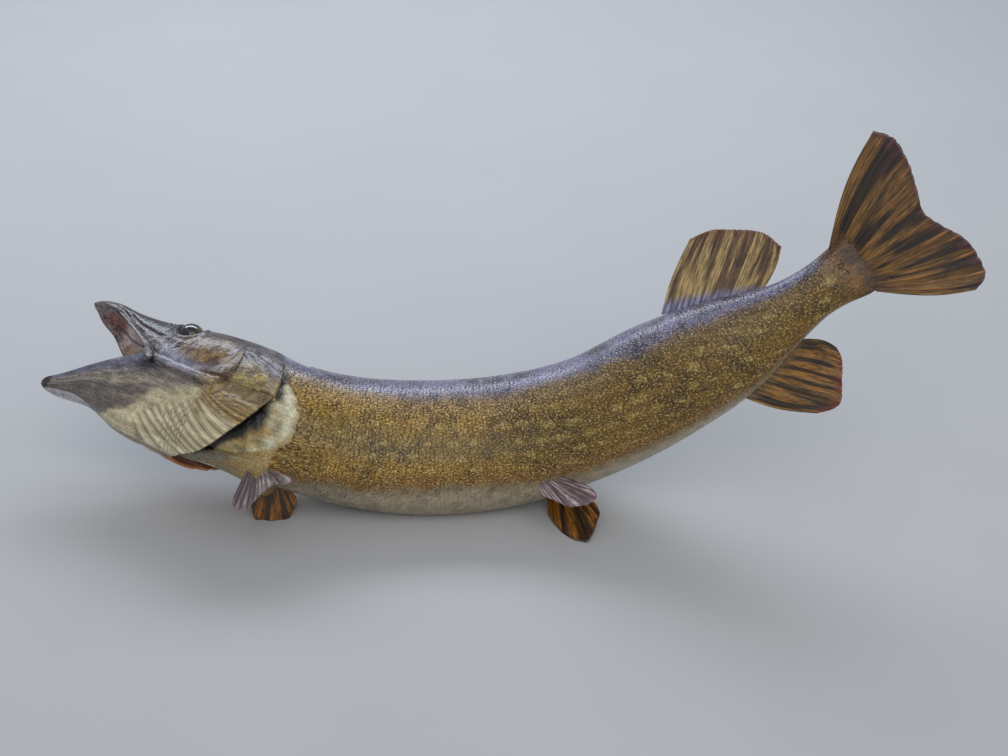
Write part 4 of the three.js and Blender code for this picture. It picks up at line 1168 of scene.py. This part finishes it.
def make_coat(material):
    """The scales in lengths along the body, smaller towards the tail."""
    for name, zone in COAT.items():
        make_scales(name, *zone, material)


# ---------------------------------------------------------------- fins
RAY_COLUMNS, FIN_ROWS = 12, 56                 # columns a ray, and rows from root to edge
EDGE_WAVES = (2.3, 7)                          # size (in rays) and seed of the free edge's waves


def fin_tint(x, r, rib, palette, seed):
    """Colour of a fin at ray number x and share r from root to edge: web, rays, dark bars and
    flecks that run with the rays, a fleshy base and a margin."""
    web, ray, dark, margin, base = (tone(*c) for c in palette)
    bars = layered(together(x * 2.3, r * 1.8), 2.0, seed, 2)
    flecks = layered(together(x * 2, r * 12), 1.5, seed + 7)
    return painted(
        mottled(web, ray, rib, 0.2, 0.8),
        (dark, smooth(bars, 0.44, 0.6) * 0.9),
        (dark, smooth(flecks, 0.58, 0.72) * 0.35),
        (base, smooth(r + 0.05 * (flecks - 0.5), 0.24, 0.08)),
        (margin, smooth(r + 0.12 * (bars - 0.5), 0.88, 0.97) * 0.7))


def fin_shell(place, root, edge, rays, thick, bow, curl, palette):
    """A fan of rays between the root line and the free edge: a column lies at the share a of both
    lines, swells by bow (2a - 1) sin(pi r) across and curl r^2 aside, and is thick on a ray and
    thin between two; rays fork at half their length and the edge frays between them."""
    centre, forward, left, up = (x[0] for x in frames(np.array([float(place)])))
    world = lambda rows: centre + np.array(rows, float) @ np.stack([-forward, left, up])
    rim, (start, end) = world(edge), world(root)
    marks = lengths(rim)
    rim_curve = flow(marks, rim)
    normal = unit(np.cross(end - start, rim_curve(marks[-1] / 2) - start))
    across = unit(end - start)
    a, r = np.meshgrid(np.linspace(0, 1, rays * RAY_COLUMNS + 1), np.linspace(0, 1, FIN_ROWS),
                       indexing="ij")
    x = a * rays
    ray = np.round(x)
    apart = np.abs(x - ray)
    fork = 0.2 * smooth(r, 0.4, 1.0)
    rib = bell(np.abs(apart - fork), 0.11 + 0.03 * r) * smooth(r, -0.2, 0.1)
    chance = scatter(together(ray, 0 * ray), place)
    fray = (0.002 + 0.007 * chance) * smooth(apart, 0.1, 0.5)
    fray = fray + 0.02 * drift(together(x, 0 * x), *EDGE_WAVES)
    share = r * (1 - fray * smooth(r, 0.6, 1))
    edge_points = rim_curve(a * marks[-1])
    base = start + (end - start) * a[..., None]
    bowed = (bow * (2 * a - 1) * np.sin(math.pi * share))[..., None]
    ripple = (0.7 * np.sin(x * 1.7 + 2 * r) + 0.55 * np.cos(math.pi * x)) * r
    aside = curl * share ** 2 + ripple * smooth(1 - np.abs(2 * a - 1), 0, 0.3)
    middle = (base + (edge_points - base) * share[..., None] + across * bowed
              + normal * aside[..., None])
    width = (thick[0] + (thick[1] - thick[0]) * share ** 0.6) * (0.42 + 0.5 * rib) / 2
    width = width * smooth(1.02 - r, 0, 0.06)
    joints = 0.04 * np.sin(r * 150) * rib * smooth(r, 0.3, 0.5)
    shape = lambda face: middle + normal * (face * (width + joints))[..., None]
    looks = {"tint": fin_tint(x, r, rib, palette, place + len(edge)), "run": together(x, r, 0)}
    return plate_shell(shape(1), shape(-1), looks, looks)


def make_fins(gold, pale):
    """Every fin as its own piece in place of its node: pale on the left, gold elsewhere; the pale
    of the near paired fins is painted shade and the amber of the far ones painted backlight.
    """
    for name, spec in FINS.items():
        points, faces, attributes = fin_shell(**spec)
        material, slot = (pale, "pale_fin") if name.endswith("_left") else (gold, "fin")
        make_mesh(name + "_rays", points, faces, material, slot, [name], **attributes)


# ---------------------------------------------------------------- eyes and teeth
EYE_RINGS, EYE_POINTS = 56, 80
TEETH_COUNT, TOOTH_LENGTH, TOOTH_RADIUS = 7, 7.0, 1.6
TEETH_FIRST, TEETH_LAST = 1.2, 3.7             # stations of a row's first and last tooth
TEETH_INSET, TOOTH_SUNK = 5.0, 0.3             # from the rim inward (mm), and the sunk share


def make_eye(side, material):
    """A glass eye: a ball of the eye's radius, flattened along its outward axis; look is the
    outward, forward and upward share of each point on the ball."""
    centre, out = eye_axes(side)
    ahead = unit(HEAD_FORWARD - out * (HEAD_FORWARD @ out))
    above = np.cross(out, ahead) * side
    t, p = tube_grid(np.linspace(0, math.pi, EYE_RINGS + 1)[1:-1], EYE_POINTS)
    look = together(np.cos(t), np.sin(t) * np.cos(p), np.sin(t) * np.sin(p))
    axes = np.stack([out * EYE_BULGE, ahead * EYE_RADIUS, above * EYE_RADIUS])
    shell = capped(centre + look @ axes, look=look)
    word = "left" if side > 0 else "right"
    return make_mesh("glass_eye_" + word, *shell[:2], material, "eye", ["eye_" + word], **shell[2])


def tooth_shell(root, tip, radius):
    """A curved cone with 10 sides from root to tip: radius (1 - t)^0.8, bent back at its middle."""
    axis = unit(tip - root)
    side = unit(np.cross(axis, HEAD_LEFT))
    other = np.cross(axis, side)
    t, p = tube_grid(np.linspace(0, 1, 9), 10)
    r = radius * np.clip(1 - t, 0.02, 1) ** 0.8
    bend = 0.5 * radius * np.sin(math.pi * t)
    centre = root + (tip - root) * t[..., None] + HEAD_FORWARD * bend[..., None]
    points = centre + side * (r * np.cos(p))[..., None] + other * (r * np.sin(p))[..., None]
    return capped(points, up=t)


def make_teeth(material):
    """The canines along each side of the jaw, leaning inward and forward."""
    shells = []
    for side in (-1, 1):
        for back, up, out in throat_rows(np.linspace(TEETH_FIRST, TEETH_LAST, TEETH_COUNT))[:, :3]:
            row = out - TEETH_INSET
            root = on_head(back, up - TOOTH_SUNK * TOOTH_LENGTH, side * row)
            tip = on_head(back - 3, up + (1 - TOOTH_SUNK) * TOOTH_LENGTH, side * (row - 1.5))
            shells.append(tooth_shell(root, tip, TOOTH_RADIUS))
    points, faces, attributes = join(shells)
    return make_mesh("teeth", points, faces, material, "jaw", **attributes)


# ---------------------------------------------------------------- finishes
class Signal:
    """A node's output that answers to arithmetic: each operator adds the Math node for it."""

    def __init__(self, finish, socket):
        self.finish, self.socket = finish, socket

    def _math(self, operation, *values):
        return self.finish.node("ShaderNodeMath", {"operation": operation}, dict(enumerate(values)))

    def __add__(self, other): return self._math("ADD", self, other)
    def __radd__(self, other): return self._math("ADD", other, self)
    def __sub__(self, other): return self._math("SUBTRACT", self, other)
    def __rsub__(self, other): return self._math("SUBTRACT", other, self)
    def __mul__(self, other): return self._math("MULTIPLY", self, other)
    def __rmul__(self, other): return self._math("MULTIPLY", other, self)
    def __truediv__(self, other): return self._math("DIVIDE", self, other)
    def __pow__(self, other): return self._math("POWER", self, other)


class Finish:
    """A material and the few ways in which its nodes are added."""

    def __init__(self, name):
        self.material = bpy.data.materials.new(name)
        self.material.use_nodes = True
        self.tree = self.material.node_tree
        self.tree.nodes.clear()

    def node(self, kind, settings=None, sockets=None, output=0):
        """Adds a node: its settings first, then the values or links of its sockets."""
        made = self.tree.nodes.new(kind)
        for key, value in (settings or {}).items():
            setattr(made, key, value)
        for key, value in (sockets or {}).items():
            if isinstance(value, Signal):
                self.tree.links.new(value.socket, made.inputs[key])
            elif np.ndim(value) == 1 and len(made.inputs[key].default_value) == 4:
                made.inputs[key].default_value = (*value, 1)
            else:
                made.inputs[key].default_value = value
        return Signal(self, made.outputs[output]) if len(made.outputs) else made

    def attribute(self, name, output="Fac"):
        return self.node("ShaderNodeAttribute", {"attribute_name": name}, output=output)

    def parts(self, name):
        """The three numbers of a vector attribute."""
        vector = self.attribute(name, "Vector")
        return [self.node("ShaderNodeSeparateXYZ", sockets={0: vector}, output=i) for i in range(3)]

    def place(self):
        return self.node("ShaderNodeTexCoord", output="Object")

    def noise(self, vector, scale, detail=3.0, roughness=0.6):
        return self.node("ShaderNodeTexNoise", sockets={
            "Vector": vector, "Scale": scale, "Detail": detail, "Roughness": roughness})

    def vector(self, x, y, z):
        return self.node("ShaderNodeCombineXYZ", sockets={0: x, 1: y, 2: z})

    def ease(self, value, low, high, start=0.0, end=1.0):
        """start below low and end above high, with a smooth step between."""
        return self.node("ShaderNodeMapRange", {"interpolation_type": "SMOOTHSTEP"}, {
            "Value": value, "From Min": low, "From Max": high, "To Min": start, "To Max": end})

    def level(self, noise, low, high):
        """A noise's usual range stretched to run from low to high."""
        return self.ease(noise, 0.3, 0.7, low, high)

    def zigzag(self, value):
        """0 at whole numbers and 0.5 halfway between them."""
        return self.node("ShaderNodeMath", {"operation": "PINGPONG"}, {0: value, 1: 0.5})

    def mix(self, a, b, share):
        return self.node("ShaderNodeMix", {"data_type": "RGBA"}, {0: share, 6: a, 7: b}, output=2)

    def shade(self, colour, share):
        """The colour made darker or lighter by a share."""
        return self.node("ShaderNodeVectorMath", {"operation": "SCALE"},
                         {0: colour, "Scale": share})

    def surface(self, colour, roughness, height=None, **constants):
        """The Principled surface, with a height for its relief, and the output; constants are the
        shader's own fixed sockets."""
        sockets = {"Base Color": colour, "Roughness": roughness}
        if height is not None:
            sockets["Normal"] = self.node("ShaderNodeBump", sockets={
                "Height": height, "Distance": MILLIMETRE, "Strength": 0.9}, output="Normal")
        sockets.update({k.replace("_", " "): v for k, v in constants.items()})
        shader = self.node("ShaderNodeBsdfPrincipled", sockets=sockets)
        self.node("ShaderNodeOutputMaterial", sockets={"Surface": shader})
        return self.material


def skin_finish():
    """Varnished skin: the painted tint, clouded and grained, streaked along its own run, ribbed
    where rays lie under it, with painted highlight on the ribs' crests and painted shade between
    them, and dark with painted shade in its grooves."""
    f = Finish("varnished_skin")
    place = f.place()
    dent, ray, run = f.attribute("dent"), f.attribute("ray"), f.attribute("run", "Vector")
    ribbed, streaky, wet = f.parts("marks")
    cloud, grain, dust = f.noise(place, 110), f.noise(place, 420, 4.0), f.noise(place, 1300, 2.0)
    streak = f.noise(run, 0.5, 4.0)
    saw = f.zigzag(ray)
    fine = f.zigzag(ray * 3.0 + cloud * 0.6)
    groove, crest, line = f.ease(saw, 0.13, 0.0), f.ease(saw, 0.26, 0.5), f.ease(fine, 0.16, 0.0)
    tint = f.shade(f.attribute("tint", "Color"), f.level(cloud, 0.88, 1.12))
    tint = f.shade(tint, 1 + f.ease(grain, 0.34, 0.66, -0.2, 0.18) * (1 - ribbed * 0.6))
    # Lighter crests and darker furrows of the ribbed membrane: painted highlight and painted shade
    # over the relief.
    tint = f.shade(tint, 1 + ribbed * (crest * 0.46 - groove * 0.55 - line * 0.16))
    tint = f.shade(tint, 1 + streaky * f.ease(streak, 0.36, 0.64, -0.32, 0.34))
    tint = f.mix(tint, tone(44, 34, 30), f.ease(dust, 0.6, 0.74) * 0.3 * (1 - ribbed * 0.7))
    # Painted shade: near-black in the grooves, pores and nostrils and round the eye sockets.
    tint = f.mix(tint, tone(26, 20, 19), dent * 0.8)
    roughness = f.level(grain, 0.2, 0.36) - wet * 0.04
    swell, lump = f.noise(place, 100, 1.0), f.noise(place, 210, 1.0)
    height = swell * 0.9 + lump * 0.35 + grain * 0.1
    height = height + ribbed * (crest * 0.55 - groove * 0.4 - line * 0.12)
    height = height + streaky * streak * 0.9
    return f.surface(tint, roughness, height, Coat_Weight=0.1, Coat_Roughness=0.06,
                     Specular_IOR_Level=0.5)


def scale_finish():
    """Varnished scales: the skin's tint with a fine glitter of pale and dark specks."""
    f = Finish("varnished_scales")
    across, along, glitter = f.parts("vane")
    place = f.place()
    cloud, grain, speck = f.noise(place, 110), f.noise(place, 620, 2.0), f.noise(place, 800, 1.0)
    dash = f.noise(f.attribute("run", "Vector"), 0.62, 2.0)
    tint = f.shade(f.attribute("tint", "Color"), f.level(cloud, 0.88, 1.1))
    tint = f.shade(tint, 1 + glitter * f.ease(dash * 0.65 + grain * 0.35, 0.39, 0.61, -0.55, 0.26))
    glint = f.ease(dash * 0.55 + speck * 0.45, 0.54, 0.63) * glitter * 0.5
    tint = f.mix(tint, tone(250, 222, 150), glint)
    # Each scale a little darker towards its edge: painted shade.
    rim = f.ease(across * across + (along - 0.5) * (along - 0.5) * 4.0, 0.5, 1.0)
    tint = f.shade(tint, 1 - rim * 0.06)
    return f.surface(tint, f.level(grain, 0.2, 0.36), grain * 0.22 + speck * 0.1, Coat_Weight=0.1,
                     Coat_Roughness=0.08, Specular_IOR_Level=0.45)


def fin_finish(name):
    """A varnished fin: the painted tint, light along its rays and dark in the web between them,
    partly painted highlight and painted shade, with fine dashes that run with the rays."""
    f = Finish(name)
    place = f.place()
    x, r, _ = f.parts("run")
    cloud, grain = f.noise(place, 160), f.noise(place, 900)
    dash = f.noise(f.vector(x * 3.0, r * 5.0, 0.5), 1.0, 3.0)
    saw = f.zigzag(x + (dash - 0.5) * 0.25)
    ray, web = f.ease(saw, 0.2, 0.04), f.ease(saw, 0.2, 0.42)
    tint = f.shade(f.attribute("tint", "Color"), f.level(grain, 0.9, 1.1))
    tint = f.shade(tint, 1 + f.ease(dash, 0.36, 0.64, -0.4, 0.5))
    # Rays lighter and web darker: partly the fin's own colours, partly painted highlight on the ray
    # crests and painted shade in the web.
    tint = f.shade(tint, 1 + ray * 0.45 - web * 0.4)
    height = ray * 0.45 + dash * 0.5 + grain * 0.1 + cloud * 0.3
    return f.surface(tint, f.level(grain, 0.14, 0.28), height, Coat_Weight=0.2,
                     Coat_Roughness=0.06, Specular_IOR_Level=0.6)


def eye_finish():
    """A glass eye: a wide black pupil pointed in front, a thin olive-gold ring, a dark olive iris
    darkened towards its top by painted shade, and a black rim."""
    f = Finish("glass_eye")
    _, ahead, above = f.parts("look")
    nose = f.ease(ahead, 0.0, 0.5, 0.0, 1.0)
    radius = (ahead * ahead + above * above * (1 + nose * 0.9)) ** 0.5
    speck = f.noise(f.place(), 1600, 3.0)
    iris = f.mix(tone(52, 48, 30), tone(110, 100, 58), f.ease(speck, 0.4, 0.66))
    # The iris darkened towards its top: painted shade, leaving a lit olive crescent below.
    iris = f.mix(iris, tone(26, 26, 28), f.ease(above, -0.3, 0.2))
    tint = f.mix(tone(6, 6, 9), tone(96, 88, 50), f.ease(radius, 0.5, 0.53))
    tint = f.mix(tint, iris, f.ease(radius, 0.54, 0.58))
    tint = f.mix(tint, tone(10, 9, 10), f.ease(radius, 0.84, 0.94))
    return f.surface(tint, 0.12, Coat_Weight=0.7, Coat_Roughness=0.05, Specular_IOR_Level=0.5)


def tooth_finish():
    """Ivory that is darker at the root."""
    f = Finish("ivory")
    up = f.attribute("up")
    grain = f.noise(f.place(), 900)
    tint = f.mix(tone(150, 122, 88), tone(228, 220, 196), f.ease(up, 0.1, 0.6))
    return f.surface(f.shade(tint, f.level(grain, 0.88, 1.08)), 0.25, Coat_Weight=0.4)


def floor_finish():
    """A plain pale floor with a faint cloudiness."""
    f = Finish("pale_floor")
    cloud = f.noise(f.place(), 3.0)
    return f.surface(f.mix(tone(180, 181, 182), tone(188, 189, 191), cloud), 0.7)


# ---------------------------------------------------------------- camera, floor and light
CAMERA_PLACE, CAMERA_TURN = (0.0159, -1.217, 1.0), (54.5, 0, 0)
CAMERA_LENS, CAMERA_SENSOR = 52.857, 36
FLOOR_HALF = 4.0
# Lights: place, turn (degrees), size, watts and colour.
LIGHTS = {"window": ((-0.4, 1.7, 1.6), (-52, 0, 0), (2.6, 0.55), 35, (0.8, 0.88, 1.0)),
          "room": ((0.7, -1.6, 2.4), (36, 14, 0), (3.0, 2.4), 30, (1.0, 0.97, 0.92))}
AIR_COLOUR, AIR_STRENGTH = (0.86, 0.9, 0.97, 1), 0.46


def put(name, data, place=(0, 0, 0), turn=(0, 0, 0)):
    """Adds an object to the scene at a place and turn (degrees)."""
    item = bpy.data.objects.new(name, data)
    item.location = place
    item.rotation_euler = [math.radians(a) for a in turn]
    bpy.context.scene.collection.objects.link(item)
    return item


def make_camera():
    """Looks down on the fish from its left side."""
    camera = bpy.data.cameras.new("camera")
    camera.lens, camera.sensor_width = CAMERA_LENS, CAMERA_SENSOR
    bpy.context.scene.camera = put("camera", camera, CAMERA_PLACE, CAMERA_TURN)


def make_stage():
    """The floor, a wide soft light from behind, a gentle one from the front, and pale air."""
    corners = [(x * FLOOR_HALF, y * FLOOR_HALF, 0) for x, y in ((-1, -1), (1, -1), (1, 1), (-1, 1))]
    mesh = bpy.data.meshes.new("floor")
    mesh.from_pydata(corners, [], [(0, 1, 2, 3)])
    mesh.materials.append(floor_finish())
    floor = put("floor", mesh)
    for name, (place, turn, size, watts, colour) in LIGHTS.items():
        lamp = bpy.data.lights.new(name, "AREA")
        lamp.shape = "RECTANGLE"
        lamp.size, lamp.size_y = size
        lamp.energy, lamp.color = watts, colour
        put(name, lamp, place, turn)
    world = bpy.data.worlds.new("air")
    world.use_nodes = True
    air = world.node_tree.nodes["Background"].inputs
    air["Color"].default_value, air["Strength"].default_value = AIR_COLOUR, AIR_STRENGTH
    bpy.context.scene.world = world
    bpy.context.scene.view_settings.view_transform = "Standard"


make_camera()
make_stage()
make_skin(skin_finish())
make_coat(scale_finish())
make_fins(fin_finish("gold_fin"), fin_finish("pale_fin"))
glass = eye_finish()
make_eye(1, glass)
make_eye(-1, glass)
make_teeth(tooth_finish())
